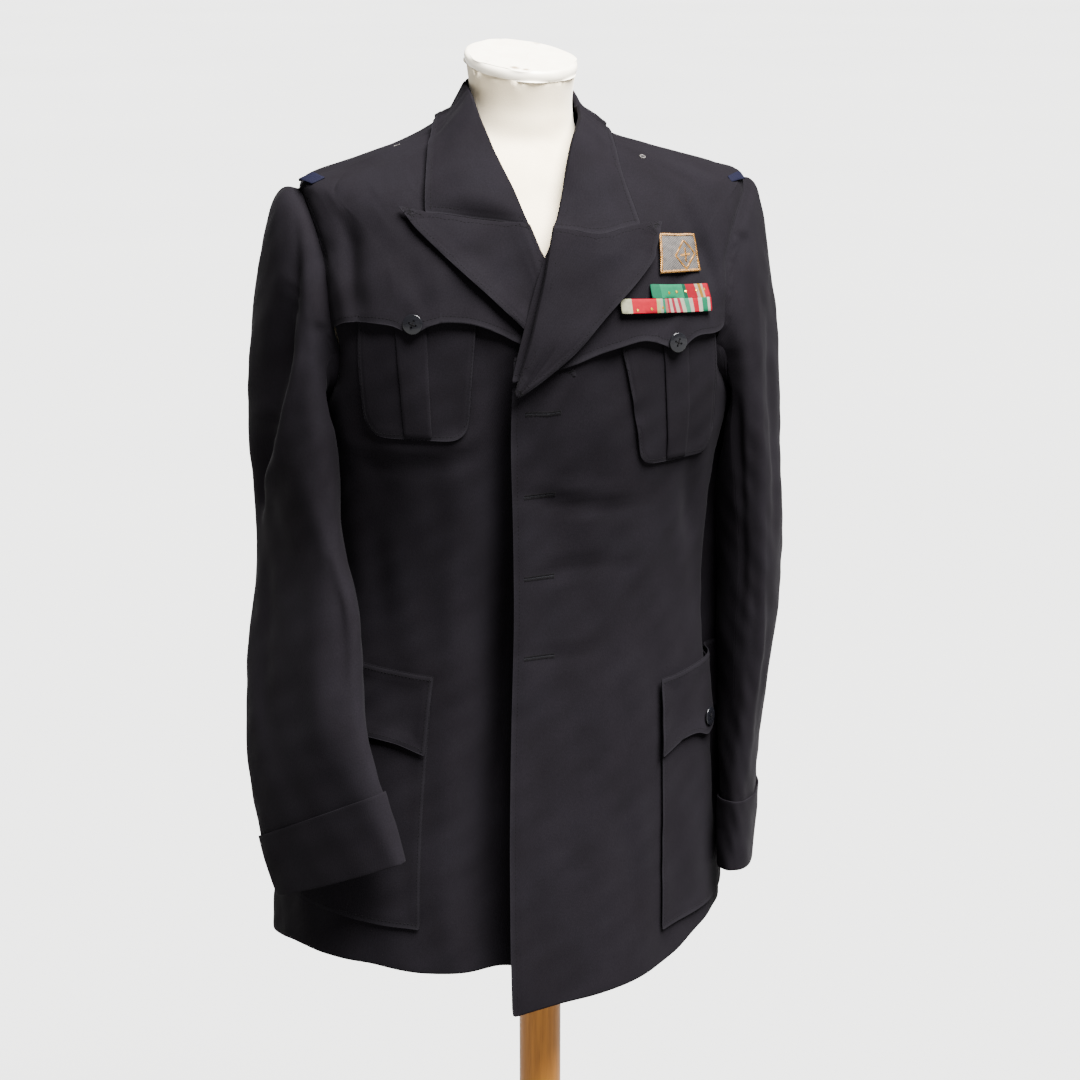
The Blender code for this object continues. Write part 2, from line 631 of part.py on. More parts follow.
def panel(name, side, front, finish, collection):
    """One front, up to where its yoke covers it, or one half of the back, up to the shoulder and the neck."""
    upper_rows = TUCK_ROWS if front else BACK_ROWS
    columns, rows = PANEL_COLUMNS + SIDE_COLUMNS, LOWER_ROWS + upper_rows
    notch = armhole(side, ARMHOLE_LOW_SHARE, front)
    away = -SEAM_TURN if front else SEAM_TURN

    def inner_turn(height):
        return front_edge_turn(side, height) if front else 180.0 - SEAM_TURN

    def lower(column, row):
        share = row / LOWER_ROWS
        if column <= PANEL_COLUMNS:
            across = column / PANEL_COLUMNS
            base_turn = blend(inner_turn(0.70), notch.x, across)
            height = blend(hem_height(side, base_turn), notch.y, share)
            return Vector((blend(inner_turn(height), notch.x, across), height))
        across = (column - PANEL_COLUMNS) / SIDE_COLUMNS
        base_turn = blend(notch.x, SIDE_SEAM_ANGLE + away, across)
        top = armhole(side, ARMHOLE_LOW_SHARE * (1 - across), front)
        height = blend(hem_height(side, base_turn), top.y, share)
        return Vector((blend(base_turn, top.x + away * across, share**3), height))

    def back_top(share):
        """From the centre back along the neck, and then out along the shoulder seam."""
        if share > NECK_SHARE:
            return shoulder_curve((share - NECK_SHARE) / (1 - NECK_SHARE)) + Vector((away, 0))
        return Vector((blend(inner_turn(0), SHOULDER_SEAM_ANGLE, share / NECK_SHARE), NECK_SIDE_HEIGHT))

    def back_upper(across, up):
        return coons(
            lambda share: Vector((blend(inner_turn(0), notch.x, share), notch.y)),
            back_top,
            lambda share: Vector((inner_turn(0), blend(notch.y, NECK_SIDE_HEIGHT, share))),
            lambda share: armhole(side, blend(ARMHOLE_LOW_SHARE, 1, share), front) + Vector((away, 0)) * share,
            across,
            up,
        )

    def front_upper(across, up):
        """The strip under the yoke's lower edge."""
        turn = blend(inner_turn(notch.y), notch.x, across)
        top = max(notch.y + TUCK_LEAST, at(YOKE_EDGE[side], turn).height + YOKE_TUCK)
        height = blend(notch.y, top, up)
        return Vector((blend(inner_turn(height), notch.x, across), height))

    def point_at(column, row):
        if row <= LOWER_ROWS:
            return lower(column, row)
        if column > PANEL_COLUMNS:
            return None
        upper = front_upper if front else back_upper
        return upper(column / PANEL_COLUMNS, (row - LOWER_ROWS) / upper_rows)

    def grid(lift):
        made = []
        for row in range(rows + 1):
            points = [point_at(column, row) for column in range(columns + 1)]
            made.append([spot and panel_point(side, spot.x, spot.y, lift) for spot in points])
        return made

    def is_cloth(row, column):
        return row < LOWER_ROWS or column < PANEL_COLUMNS

    return wall(name, grid(CLOTH), grid(0.0), finish, collection, cells=is_cloth)


# What lies on the fronts


def yoke_lift(side, turn, height):
    """The yoke's inner face: clear of the front and the pocket at its edge, the body's own layer above."""
    edge = at(YOKE_EDGE[side], turn).height
    pocket = CHEST_POCKET[side]
    over_pocket = eased(turn, pocket.inner_top - 6, pocket.inner_top - 1)
    over_pocket *= 1 - eased(turn, pocket.outer_base + 1, pocket.outer_base + 6)
    lowest = YOKE_LIFT + YOKE_SWELL * over_pocket
    return lowest * (1 - eased(height, edge + 2 * YOKE_TUCK, edge + YOKE_RISE))


def yoke(name, side, finish, collection):
    roll = neck_curve(side, YOKE_EDGE[side][0].height)
    inset = Vector((SEAM_TURN, 0.0))

    def bottom(share):
        turn = blend(roll(0).x, NOTCH_ANGLE[side], share)
        return Vector((turn, at(YOKE_EDGE[side], turn).height))

    def top(share):
        return shoulder_curve(share) - inset

    def stop(share):
        return armhole(side, blend(YOKE_ARMHOLE_SHARE[side], 1, share)) - inset * share

    def grid(extra):
        made = []
        for row in range(YOKE_ROWS + 1):
            spots = [coons(bottom, top, roll, stop, column / YOKE_COLUMNS, row / YOKE_ROWS)
                     for column in range(YOKE_COLUMNS + 1)]
            made.append([panel_point(side, s.x, s.y, yoke_lift(side, s.x, s.y) + extra) for s in spots])
        return made

    return wall(name, grid(CLOTH), grid(0.0), finish, collection)


def patch(
    name, side, corners, lift, thickness, finish, collection, columns=8, rows=6, round_base=0.0, arch=0.0
):
    """A piece laid on a panel between four corners. round_base is the height of its rounded lower corners."""

    shares = ROUNDED_SHARES if round_base else [column / columns for column in range(columns + 1)]

    def spot(across, down):
        inner = blend(corners.inner_top, corners.inner_base, down)
        outer = blend(corners.outer_top, corners.outer_base, down)
        base = corners.base + corners.lean * across
        if round_base:
            reach = max(0.0, abs(2 * across - 1) - 1 + ROUNDED_REACH) / ROUNDED_REACH
            base += round_base * (1 - math.sqrt(1 - min(1.0, reach) ** 2))
        height = blend(corners.top + corners.lean * across, base, down)
        return blend(inner, outer, across), height

    def grid(extra):
        made = []
        for row in range(rows + 1):
            points = []
            for across in shares:
                turn, height = spot(across, row / rows)
                raised = arch * math.sin(math.pi * across)
                points.append(panel_point(side, turn, height, lift(turn, height) + raised + extra))
            made.append(points)
        return made

    return wall(name, grid(thickness), grid(0.0), finish, collection)


def flap(name, side, pocket, finish, collection):
    """A lower pocket's flap: its edge dips at both ends and at the button."""
    button_turn = LOWER_BUTTON[side].angle

    def dip(across, turn):
        """How far the flap's edge hangs below its plain depth."""
        hang = FLAP_POINT * math.exp(-(((turn - button_turn) / FLAP_POINT_TURN) ** 2))
        for end in (across, 1 - across):
            hang += FLAP_CORNER * math.exp(-((end / FLAP_CORNER_SHARE) ** 2))
        return hang

    def grid(extra):
        made = []
        for row in range(FLAP_ROWS + 1):
            down = row / FLAP_ROWS
            points = []
            for column in range(FLAP_COLUMNS + 1):
                across = column / FLAP_COLUMNS
                turn = blend(pocket.inner_top - 0.6, pocket.outer_top + 0.6, across)
                top = pocket.top + pocket.lean * across + FLAP_OVERLAP
                height = top - (FLAP_DEPTH + dip(across, turn)) * down
                points.append(panel_point(side, turn, height, FLAP_LIFT + FLAP_HANG * down + extra))
            made.append(points)
        return made

    return wall(name, grid(CLOTH), grid(0.0), finish, collection)


def hairpin(fold, away, out, roll, thickness, stand):
    """Outer and inner points of a folded edge: round the fold and back under it.

    away points from the fold to the leaf's free edge, and out is the leaf's outward normal.
    """
    centre = fold + away * roll - out * roll
    outer, inner = [], []
    turns = 4
    for step in range(turns + 1):
        angle = math.pi * step / turns
        ray = out * math.cos(angle) - away * math.sin(angle)
        outer.append(centre + ray * roll)
        inner.append(centre + ray * (roll - thickness))
    for share in (0.5, 1.0):
        outer.append(outer[turns] + away * stand * share)
        inner.append(inner[turns] + away * stand * share)
    return outer, inner


def leaf_width(row):
    return math.hypot(row.edge_x - row.fold_x, row.edge_height - row.fold_height)


def leaf_roll(side, row):
    """The roll's radius, smaller where the lapel runs out."""
    return max(LEAST_ROLL, LAPEL_ROLL[side] * min(1.0, leaf_width(row) / FULL_ROLL_WIDTH))


def leaf_point(side, row, share, dip, shift, thickness):
    """A point on a lapel or on the collar's end, at a share of the way from its fold to its edge."""
    x = blend(row.fold_x, row.edge_x, share)
    height = blend(row.fold_height, row.edge_height, share) + shift
    height += dip * math.sin(math.pi * min(1.0, share / NOTCH_SHARE)) ** 2
    turn = side * angle_at(x, height)
    clear = yoke_lift(side, turn, height) + LAPEL_LIFT - CLOTH
    rolled = 2 * leaf_roll(side, row) * (1 - LEAF_FALL * share)
    return panel_point(side, turn, height, clear + rolled + thickness)


def lapel(name, side, finish, collection):
    rows = []
    for share in LAPEL_STATIONS:
        low = min(int(share), len(LAPEL[side]) - 2)
        first, second = LAPEL[side][low], LAPEL[side][low + 1]
        rows.append(LapelRow(*(blend(a, b, share - low) for a, b in zip(first, second))))
    outer_grid, inner_grid = [], []
    for station, row in zip(LAPEL_STATIONS, rows):
        dip = LAPEL_DIP[side] * max(0.0, 1 - station / 2)
        shift = -GORGE_GAP if station == 0 else 0.0
        roll = leaf_roll(side, row)
        first = min(0.85, 2 * roll / leaf_width(row))
        shares = [blend(first, 1.0, share) for share in LEAF_SHARES[:-1]] + [0.0]
        leaf_outer = [leaf_point(side, row, share, dip, shift, CLOTH) for share in shares]
        leaf_inner = [leaf_point(side, row, share, dip, shift, 0.0) for share in shares]
        fold = leaf_outer[-1]
        normal = (fold - leaf_inner[-1]).normalized()
        away = leaf_outer[-2] - fold
        away = (away - normal * away.dot(normal)).normalized()
        stand = min(LAPEL_RETURN, leaf_width(row) / 4)
        back_outer, back_inner = hairpin(fold, away, normal, roll, CLOTH, stand)
        outer_grid.append(leaf_outer[:-1] + back_outer)
        inner_grid.append(leaf_inner[:-1] + back_inner)
    return wall(name, outer_grid, inner_grid, finish, collection)


def above_yoke(side, point, thickness):
    """The point moved clear of the yoke and the front under it, which end at the neck's edge."""
    pushed = pushed_clear(point, YOKE_LIFT + CLOTH + COLLAR_GAP[side] + thickness + lap_at(side, point))
    return pushed.lerp(point, eased(point.z, NECK_SIDE_HEIGHT - 0.004, NECK_SIDE_HEIGHT + 0.012))


def collar(name, finish, collection):
    """The folded leaf from gorge to gorge: its ends lie beside the lapels, and it stands up round the neck."""
    keyed = namedtuple("Keyed", ("position",) + CollarRow._fields)
    table = [keyed(float(position), *row) for position, row in enumerate(COLLAR)]
    count = COLLAR_STATIONS - 1
    stations = [at(table, (len(COLLAR) - 1) * index / count) for index in range(COLLAR_STATIONS)]
    folds = [Vector((s.fold_x, s.fold_y, s.fold_height)) for s in stations]
    edges = [Vector((s.edge_x, s.edge_y, s.edge_height)) for s in stations]
    leaf_shares = [share / NOTCH_SHARE for share in LEAF_SHARES if share <= NOTCH_SHARE]
    outer_grid, inner_grid = [], []
    for index, station in enumerate(stations):
        side = RIGHT if index < count / 2 else LEFT
        if index in (0, count):
            gorge = LAPEL[side][0]
            spots = [(side, gorge, share * NOTCH_SHARE, LAPEL_DIP[side], GORGE_GAP) for share in leaf_shares]
            leaf_outer = [leaf_point(*spot, CLOTH) for spot in spots]
            leaf_inner = [leaf_point(*spot, 0.0) for spot in spots]
            out = (leaf_outer[-1] - leaf_inner[-1]).normalized()
        else:
            away = (edges[index] - folds[index]).normalized()
            out = (folds[index + 1] - folds[index - 1]).cross(away).normalized()
            leaf_outer = []
            for share in leaf_shares:
                bulge = out * station.bulge * math.sin(math.pi * share)
                leaf_outer.append(above_yoke(side, folds[index].lerp(edges[index], share) + bulge, CLOTH))
            leaf_inner = [above_yoke(side, spot - out * CLOTH, 0.0) for spot in leaf_outer]
        away = leaf_outer[-2] - leaf_outer[-1]
        away = (away - out * away.dot(out)).normalized()
        back_outer, back_inner = hairpin(leaf_outer[-1], away, out, COLLAR_ROLL, CLOTH, station.stand)
        outer_grid.append(leaf_outer[:-1] + back_outer)
        inner_grid.append(leaf_inner[:-1] + back_inner)
    return wall(name, outer_grid, inner_grid, finish, collection)


def lap_at(side, point):
    angle = angle_at(point.x, point.z)
    return lap_rise(side, angle, point.z) if point.y < 0 else 0.0


# Sleeves


def armhole_ring(side):
    """The armhole's edge in evenly counted points, from the shoulder round the front and up the back."""
    half = SLEEVE_RING // 2
    centre = panel_point(side, SHOULDER_SEAM_ANGLE + 2, blend(ARMPIT_HEIGHT, SHOULDER_HEIGHT, 0.5), CLOTH)
    ring = []
    for index in range(SLEEVE_RING):
        front = index <= half
        count = half - index if front else index - half
        share = count * 0.1 if count <= 4 else ARMHOLE_LOW_SHARE + (count - 4) * 0.075
        spot = armhole(side, share, front)
        lift = CLOTH + 0.0002
        if front and share >= YOKE_ARMHOLE_SHARE[side]:
            lift += yoke_lift(side, spot.x, spot.y)
        point = panel_point(side, spot.x, spot.y, lift)
        ring.append(point + (centre - point).normalized() * ARMHOLE_EASE)
    return ring


def sleeve_section(side, row):
    turn = math.radians(row.yaw)
    wide = Vector((-side * math.sin(turn), -math.cos(turn), row.tilt))
    thick = Vector((side * math.cos(turn), -math.sin(turn), 0.0))
    ring = []
    for index in range(SLEEVE_RING):
        angle = 2 * math.pi * index / SLEEVE_RING
        out, front = math.cos(angle), math.sin(angle)
        reach = (abs(out) ** SLEEVE_SQUARENESS + abs(front) ** SLEEVE_SQUARENESS) ** (-1 / SLEEVE_SQUARENESS)
        centre = Vector((row.centre_x, row.centre_y, row.height))
        point = centre + wide * row.half_wide * reach * front + thick * row.half_thick * reach * out
        over_pocket = eased(point.z, CLEARANCE_START, CLEARANCE_END)
        ring.append(pushed_clear(point, blend(SLEEVE_CLEARANCE, POCKET_CLEARANCE, over_pocket)))
    return ring


def sleeve_rings(side):
    """Rings from the armhole to the wrist, outer face."""
    start = armhole_ring(side)
    rows = SLEEVE[side][::-1]
    top = rows[-1]
    stop = sleeve_section(side, top)
    rings = [start]
    for step in range(1, HEAD_RINGS):
        share = step / HEAD_RINGS
        ring = []
        for index in range(SLEEVE_RING):
            angle = 2 * math.pi * index / SLEEVE_RING
            head = (1 + math.cos(angle)) / 2
            leave = FOOT_START.lerp(HEAD_START[side], head)
            leave.x *= side
            arrive = Vector((0.0, 0.0, -blend(FOOT_END, HEAD_END, head**HEAD_SPREAD)))
            rest = 1 - share
            ring.append(
                start[index] * (rest * rest * (1 + 2 * share))
                + leave * (share * rest * rest)
                + stop[index] * (share * share * (3 - 2 * share))
                - arrive * (share * share * rest)
            )
        rings.append(ring)
    bottom = rows[0].height
    cuff_top = bottom + CUFF_DEPTH[side]
    heights = [blend(top.height, cuff_top, step / ARM_RINGS) for step in range(ARM_RINGS)]
    heights += [blend(cuff_top, bottom, step / CUFF_RINGS) for step in range(CUFF_RINGS + 1)]
    rings += [sleeve_section(side, at(rows, height)) for height in heights]
    return rings


def ring_normals(rings):
    """The tube's outward normal at each point of its rings, evened out with its neighbours' normals."""
    count = len(rings[0])
    normals = []
    for row, ring in enumerate(rings):
        before, after = rings[max(0, row - 1)], rings[min(len(rings) - 1, row + 1)]
        centre = sum(ring, Vector()) / count
        found = []
        for index in range(count):
            round_way = ring[(index + 1) % count] - ring[index - 1]
            found.append(round_way.cross(after[index] - before[index]).normalized())
        outside = sum(normal.dot(point - centre) for normal, point in zip(found, ring)) > 0
        found = [normal if outside else -normal for normal in found]
        evened = [found[i - 1] + 2 * found[i] + found[(i + 1) % count] for i in range(count)]
        normals.append([normal.normalized() for normal in evened])
    return normals


def ring_point(ring, share):
    """A point at a share of the way round a ring."""
    place = share * len(ring)
    low = int(place) % len(ring)
    return ring[low].lerp(ring[(low + 1) % len(ring)], place - int(place))


def sleeve(side, names, finish, collection):
    rings = sleeve_rings(side)
    normals = ring_normals(rings)
    gap = 0.0006
    cuts = ((BACK_SEAM - 1 + gap, FRONT_SEAM - gap, names[0]), (FRONT_SEAM + gap, BACK_SEAM - gap, names[1]))
    for start, stop, name in cuts:
        first, last = math.ceil(start * SLEEVE_RING + 0.3), math.floor(stop * SLEEVE_RING - 0.3)
        shares = [start] + [index / SLEEVE_RING for index in range(first, last + 1)] + [stop]
        outer = [[ring_point(ring, share % 1) for share in shares] for ring in rings]
        inner = []
        for ring, normal in zip(rings, normals):
            inside = [point - out * CLOTH for point, out in zip(ring, normal)]
            inner.append([ring_point(inside, share % 1) for share in shares])
        wall(name, outer, inner, finish, collection)
    return rings, normals


def cuff(name, rings, normals, finish, collection):
    """A turned-back cuff round the sleeve's last stretch."""
    outer, inner = [], []
    for ring, normal in zip(rings[-CUFF_RINGS - 1 :], normals[-CUFF_RINGS - 1 :]):
        inner.append([point + out * CUFF_GAP for point, out in zip(ring, normal)])
        outer.append([point + out * (CUFF_GAP + CLOTH) for point, out in zip(ring, normal)])
    return wall(name, outer, inner, finish, collection, wrap=True)


# Buttons and small trim


def button(name, point, normal, finish, parts, cutters):
    """A turned four-hole button with a rounded rim and a sunk middle, lying against the cloth."""
    profile = [
        (0.0, BUTTON_THICKNESS * 0.72), (BUTTON_RADIUS * 0.55, BUTTON_THICKNESS * 0.72),
        (BUTTON_RADIUS * 0.70, BUTTON_THICKNESS), (BUTTON_RADIUS * 0.92, BUTTON_THICKNESS * 0.92),
        (BUTTON_RADIUS, BUTTON_THICKNESS * 0.5), (BUTTON_RADIUS * 0.85, 0.0), (0.0, 0.0),
    ]
    mesh = bpy.data.meshes.new(name)
    edges = [(index, index + 1) for index in range(len(profile) - 1)]
    mesh.from_pydata([(radius, 0.0, height) for radius, height in profile], edges, [])
    made = add_object(name, mesh, finish, parts)
    turned = made.modifiers.new("Turned", "SCREW")
    turned.steps = turned.render_steps = BUTTON_SIDES
    turned.use_merge_vertices = True
    turned.merge_threshold = 0.0001
    turned.use_smooth_shade = True
    rotation = normal.to_track_quat("Z", "Y")
    made.rotation_mode = "QUATERNION"
    made.rotation_quaternion = rotation
    made.location = point
    for across, up in ((-1, -1), (-1, 1), (1, -1), (1, 1)):
        offset = rotation @ Vector((across, up, 0.0)) * BUTTON_HOLE_OFFSET
        bpy.ops.mesh.primitive_cylinder_add(
            vertices=6, radius=BUTTON_HOLE_RADIUS, depth=4 * BUTTON_THICKNESS, location=point + offset
        )
        drill = bpy.context.object
        drill.rotation_mode = "QUATERNION"
        drill.rotation_quaternion = rotation
        drill.name = f"{name}_hole"
        drill.hide_render = True
        drill.display_type = "WIRE"
        for owner in list(drill.users_collection):
            owner.objects.unlink(drill)
        cutters.objects.link(drill)
        cut = made.modifiers.new("Hole", "BOOLEAN")
        cut.operation = "DIFFERENCE"
        cut.solver = "EXACT"
        cut.object = drill
    return made


# The dress form and the stand


def form_ring(height, count=FORM_SIDES):
    """A level ring of the form's body, inside the jacket."""
    ring = []
    for index in range(count):
        angle = 360 * index / count
        from_seam = min(abs(angle - SHOULDER_SEAM_ANGLE), abs(360 - angle - SHOULDER_SEAM_ANGLE))
        touching = eased(height, 1.412, 1.424) * (1 - eased(from_seam, 0, FORM_TOUCH_TURN))
        lift = -blend(FORM_EASE, FORM_TOUCH, touching)
        ring.append(bare_point(angle, height) + outward(angle, height) * lift)
    return ring


def neck_ring(height, radius, count=FORM_SIDES):
    centre_x, centre_y = NECK_CENTRE
    ring = []
    for index in range(count):
        angle = math.radians(360 * index / count)
        ring.append(Vector((centre_x + radius * math.sin(angle), centre_y - radius * math.cos(angle), height)))
    return ring


def tilted(ring, tilt=1.0):
    """The ring sloped towards the cap's plane."""
    made = []
    for point in ring:
        rise = CAP_SLOPE[0] * (point.x - NECK_CENTRE[0]) + CAP_SLOPE[1] * (point.y - NECK_CENTRE[1])
        made.append(Vector((point.x, point.y, point.z + tilt * rise)))
    return made


def dress_form(name, finish, collection):
    foot = []
    for point in form_ring(FORM_BASE):
        x = blend(point.x, NECK_CENTRE[0], FORM_NARROWING)
        foot.append(Vector((x, point.y * (1 - FORM_NARROWING), FORM_BASE)))
    rings = [foot] + [form_ring(height) for height in FORM_LEVELS]
    for row in NECK:
        neck = tilted(neck_ring(row.height, NECK_RADIUS * row.scale), row.tilt)
        body = form_ring(min(row.height, FORM_TOP))
        rings.append([blend(a, b, row.share) for a, b in zip(body, neck)])
    return capped_rings(name, rings, finish, collection)


def neck_cap(name, finish, collection):
    rings = [tilted(neck_ring(CAP_HEIGHT + row.rise, NECK_RADIUS * row.scale)) for row in CAP]
    return capped_rings(name, rings, finish, collection)


def turned_stand(name, profile, finish, collection, steps):
    mesh = bpy.data.meshes.new(name)
    edges = [(index, index + 1) for index in range(len(profile) - 1)]
    mesh.from_pydata([(radius, 0.0, height) for radius, height in profile], edges, [])
    made = add_object(name, mesh, finish, collection)
    turned = made.modifiers.new("Turned", "SCREW")
    turned.steps = turned.render_steps = steps
    turned.use_merge_vertices = True
    turned.merge_threshold = 0.0001
    turned.use_smooth_shade = True
    return made


# How far each laid-on piece stands off the body


def on_front(turn, height):
    return POCKET_LIFT


def on_pocket(turn, height):
    return POCKET_LIFT + LAYER


def on_yoke(turn, height):
    return yoke_lift(LEFT, turn, height) + TRIM_LIFT


def over_shoulder(side):
    return lambda turn, height: LOOP_LIFT[side]


# Assembly


def build():
    for old in list(bpy.data.objects):
        bpy.data.objects.remove(old)
    parts = bpy.data.collections.new("uniform_jacket")
    cutters = bpy.data.collections.new("cutters")
    for group in (parts, cutters):
        bpy.context.scene.collection.children.link(group)
    wool = material("Navy-black worsted wool", (0.020, 0.019, 0.023), 0.85)
    navy = material("Navy grosgrain ribbon", (0.008, 0.011, 0.040), 0.8)
    horn = material("Black polished horn", (0.008, 0.008, 0.009), 0.2)
    bullion = material("Gold and silver bullion", (0.45, 0.36, 0.18), 0.5, 0.6)
    service = material("Woven service ribbon", (0.35, 0.06, 0.05), 0.7)
    canvas = material("Cream covered form", (0.80, 0.76, 0.68), 0.8)
    plaster = material("White neck cap", (0.86, 0.84, 0.79), 0.7)
    beech = material("Varnished beech", (0.50, 0.30, 0.10), 0.4)

    for side, word in ((RIGHT, "right"), (LEFT, "left")):
        panel(f"front_{word}", side, True, wool, parts)
        panel(f"back_{word}", side, False, wool, parts)
        yoke(f"yoke_{word}", side, wool, parts)
        lapel(f"lapel_{word}", side, wool, parts)
        rings, normals = sleeve(side, (f"sleeve_upper_{word}", f"sleeve_under_{word}"), wool, parts)
        cuff(f"cuff_{word}", rings, normals, wool, parts)
        patch(f"chest_pocket_{word}", side, CHEST_POCKET[side], on_front, CLOTH, wool, parts,
              round_base=POCKET_CORNER)
        patch(f"chest_pleat_{word}", side, CHEST_PLEAT[side], on_pocket, CLOTH, wool, parts, columns=2)
        patch(f"lower_pocket_{word}", side, LOWER_POCKET[side], on_front, CLOTH, wool, parts, 12, 5)
        flap(f"lower_flap_{word}", side, LOWER_POCKET[side], wool, parts)
        patch(f"shoulder_loop_{word}", side, SHOULDER_LOOP[side], over_shoulder(side), LOOP_THICKNESS, navy,
              parts, columns=6, rows=1, arch=LOOP_ARCH)

        turn, height, gap = CHEST_BUTTON[side]
        point = panel_point(side, turn, height, yoke_lift(side, turn, height) + CLOTH + gap)
        button(f"chest_button_{word}", point, outward(side * turn, height), horn, parts, cutters)
        turn, height, gap = LOWER_BUTTON[side]
        point = panel_point(side, turn, height, FLAP_LIFT + FLAP_HANG + CLOTH + gap)
        button(f"lower_button_{word}", point, outward(side * turn, height), horn, parts, cutters)
    collar("collar", wool, parts)
    patch("badge", LEFT, BADGE, on_yoke, BADGE_THICKNESS, bullion, parts, columns=4, rows=3)
    patch("ribbons_upper", LEFT, UPPER_RIBBONS, on_yoke, RIBBON_THICKNESS, service, parts, columns=5, rows=1)
    patch("ribbons_lower", LEFT, LOWER_RIBBONS, on_yoke, RIBBON_THICKNESS, service, parts, columns=7, rows=1)

    dress_form("dress_form", canvas, parts)
    neck_cap("neck_cap", plaster, parts)
    pole_top = FORM_BASE - SEAM_GAP
    pole_foot = BASE_THICKNESS + SEAM_GAP
    pole = [(0.0, pole_top), (POLE_RADIUS, pole_top), (POLE_RADIUS, pole_foot), (0.0, pole_foot)]
    turned_stand("pole", pole, beech, parts, 20)
    near, far = BASE_RADIUS - BASE_EDGE, BASE_RADIUS - BASE_EDGE * 0.3
    base = [(0.0, BASE_THICKNESS), (near, BASE_THICKNESS), (far, BASE_THICKNESS - BASE_EDGE * 0.3),
            (BASE_RADIUS, BASE_THICKNESS - BASE_EDGE), (BASE_RADIUS, 0.0), (0.0, 0.0)]
    turned_stand("base", base, beech, parts, 36)


build()
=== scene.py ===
"""How the uniform jacket on its dress form looks: sewn worsted wool, grosgrain, horn, bullion and varnished wood.

Lengths are metres. The jacket faces -Y and its wearer's left is +X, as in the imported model. Angles run round the
jacket in degrees from the centre front, positive to the wearer's left, and round a sleeve from its outer side,
positive to the front.
"""

import math
from collections import namedtuple
from functools import partial

import bmesh
import bpy
import numpy as np
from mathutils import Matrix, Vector, kdtree
from mathutils.bvhtree import BVHTree


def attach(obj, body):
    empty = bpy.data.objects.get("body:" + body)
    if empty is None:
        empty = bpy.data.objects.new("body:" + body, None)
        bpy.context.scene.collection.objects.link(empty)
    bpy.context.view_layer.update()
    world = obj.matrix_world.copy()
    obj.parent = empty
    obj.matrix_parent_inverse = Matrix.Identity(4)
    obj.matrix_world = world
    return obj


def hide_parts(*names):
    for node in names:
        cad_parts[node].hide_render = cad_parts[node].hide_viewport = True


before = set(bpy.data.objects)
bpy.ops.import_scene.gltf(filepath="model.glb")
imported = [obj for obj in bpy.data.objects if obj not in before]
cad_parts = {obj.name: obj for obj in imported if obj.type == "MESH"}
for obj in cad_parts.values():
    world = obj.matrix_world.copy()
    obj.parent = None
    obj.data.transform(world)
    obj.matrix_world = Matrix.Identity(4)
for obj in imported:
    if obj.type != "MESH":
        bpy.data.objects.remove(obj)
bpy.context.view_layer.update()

bpy.ops.object.select_all(action="DESELECT")

RIGHT, LEFT = -1, 1
SIDES = ((RIGHT, "right"), (LEFT, "left"))
SMOOTH_ANGLE = math.radians(38)

# Camera, where the photograph was taken from
bpy.ops.object.camera_add(location=(-0.48309, -2.27278, 1.68091))
camera = bpy.context.object
camera.name = "camera"
camera.rotation_euler = (Vector((0.0, 0.0, 1.08)) - camera.location).to_track_quat("-Z", "Y").to_euler()
camera.data.lens = 86.33
camera.data.sensor_width = 36.0
bpy.context.scene.camera = camera


# The jacket's form: where a point lies round the body or a sleeve, and which way is out

Section = namedtuple("Section", "height centre_x half_width front back")
BODY = (
    Section(0.660, -0.041, 0.2130, 0.152, 0.138),
    Section(0.850, -0.035, 0.2000, 0.147, 0.134),
    Section(0.960, -0.027, 0.1870, 0.142, 0.125),
    Section(1.060, -0.021, 0.1770, 0.137, 0.115),
    Section(1.140, -0.018, 0.1800, 0.138, 0.114),
    Section(1.220, -0.016, 0.1910, 0.142, 0.120),
    Section(1.290, -0.015, 0.2000, 0.139, 0.124),
    Section(1.375, -0.015, 0.2030, 0.117, 0.115),
    Section(1.4145, -0.015, 0.2010, 0.089, 0.093),
    Section(1.472, -0.018, 0.0600, 0.034, 0.068),
)
BODY_RADIUS = 0.17
# Over the shoulders the way out turns upwards, between two heights
BODY_RISE, BODY_SHOULDER = 1.9, (1.330, 1.425)
SLEEVE_RISE, SLEEVE_SHOULDER = 1.6, (1.300, 1.415)

SleeveSection = namedtuple("SleeveSection", "height centre_x centre_y half_wide half_thick yaw")
SLEEVE = {
    RIGHT: (
        SleeveSection(0.812, -0.2085, -0.124, 0.068, 0.0200, 44.0),
        SleeveSection(0.870, -0.2230, -0.108, 0.071, 0.0220, 40.0),
        SleeveSection(0.930, -0.2320, -0.086, 0.075, 0.0255, 34.0),
        SleeveSection(1.000, -0.2290, -0.062, 0.078, 0.0260, 29.0),
        SleeveSection(1.055, -0.2250, -0.040, 0.080, 0.0260, 22.0),
        SleeveSection(1.098, -0.2250, -0.022, 0.080, 0.0245, 16.0),
        SleeveSection(1.190, -0.2270, -0.002, 0.087, 0.0330, 9.0),
    ),
    LEFT: (
        SleeveSection(0.776, 0.1800, -0.040, 0.069, 0.0165, 17.0),
        SleeveSection(0.890, 0.1870, -0.035, 0.074, 0.0175, 17.0),
        SleeveSection(1.008, 0.1950, -0.029, 0.079, 0.0245, 15.0),
        SleeveSection(1.190, 0.1890, -0.018, 0.086, 0.0310, 14.0),
    ),
}
SLEEVE_RADIUS = 0.058


def eased(value, start, stop):
    """0 at start and 1 at stop, level at both ends."""
    share = np.clip((value - start) / (stop - start), 0.0, 1.0)
    return share * share * (3 - 2 * share)


def level(rows, heights):
    """The columns of a table of sections at some heights."""
    keys = [row.height for row in rows]
    return [np.interp(heights, keys, [row[column] for row in rows]) for column in range(1, len(rows[0]))]


def unit(vectors):
    return vectors / np.maximum(1e-9, np.linalg.norm(vectors, axis=1))[:, None]


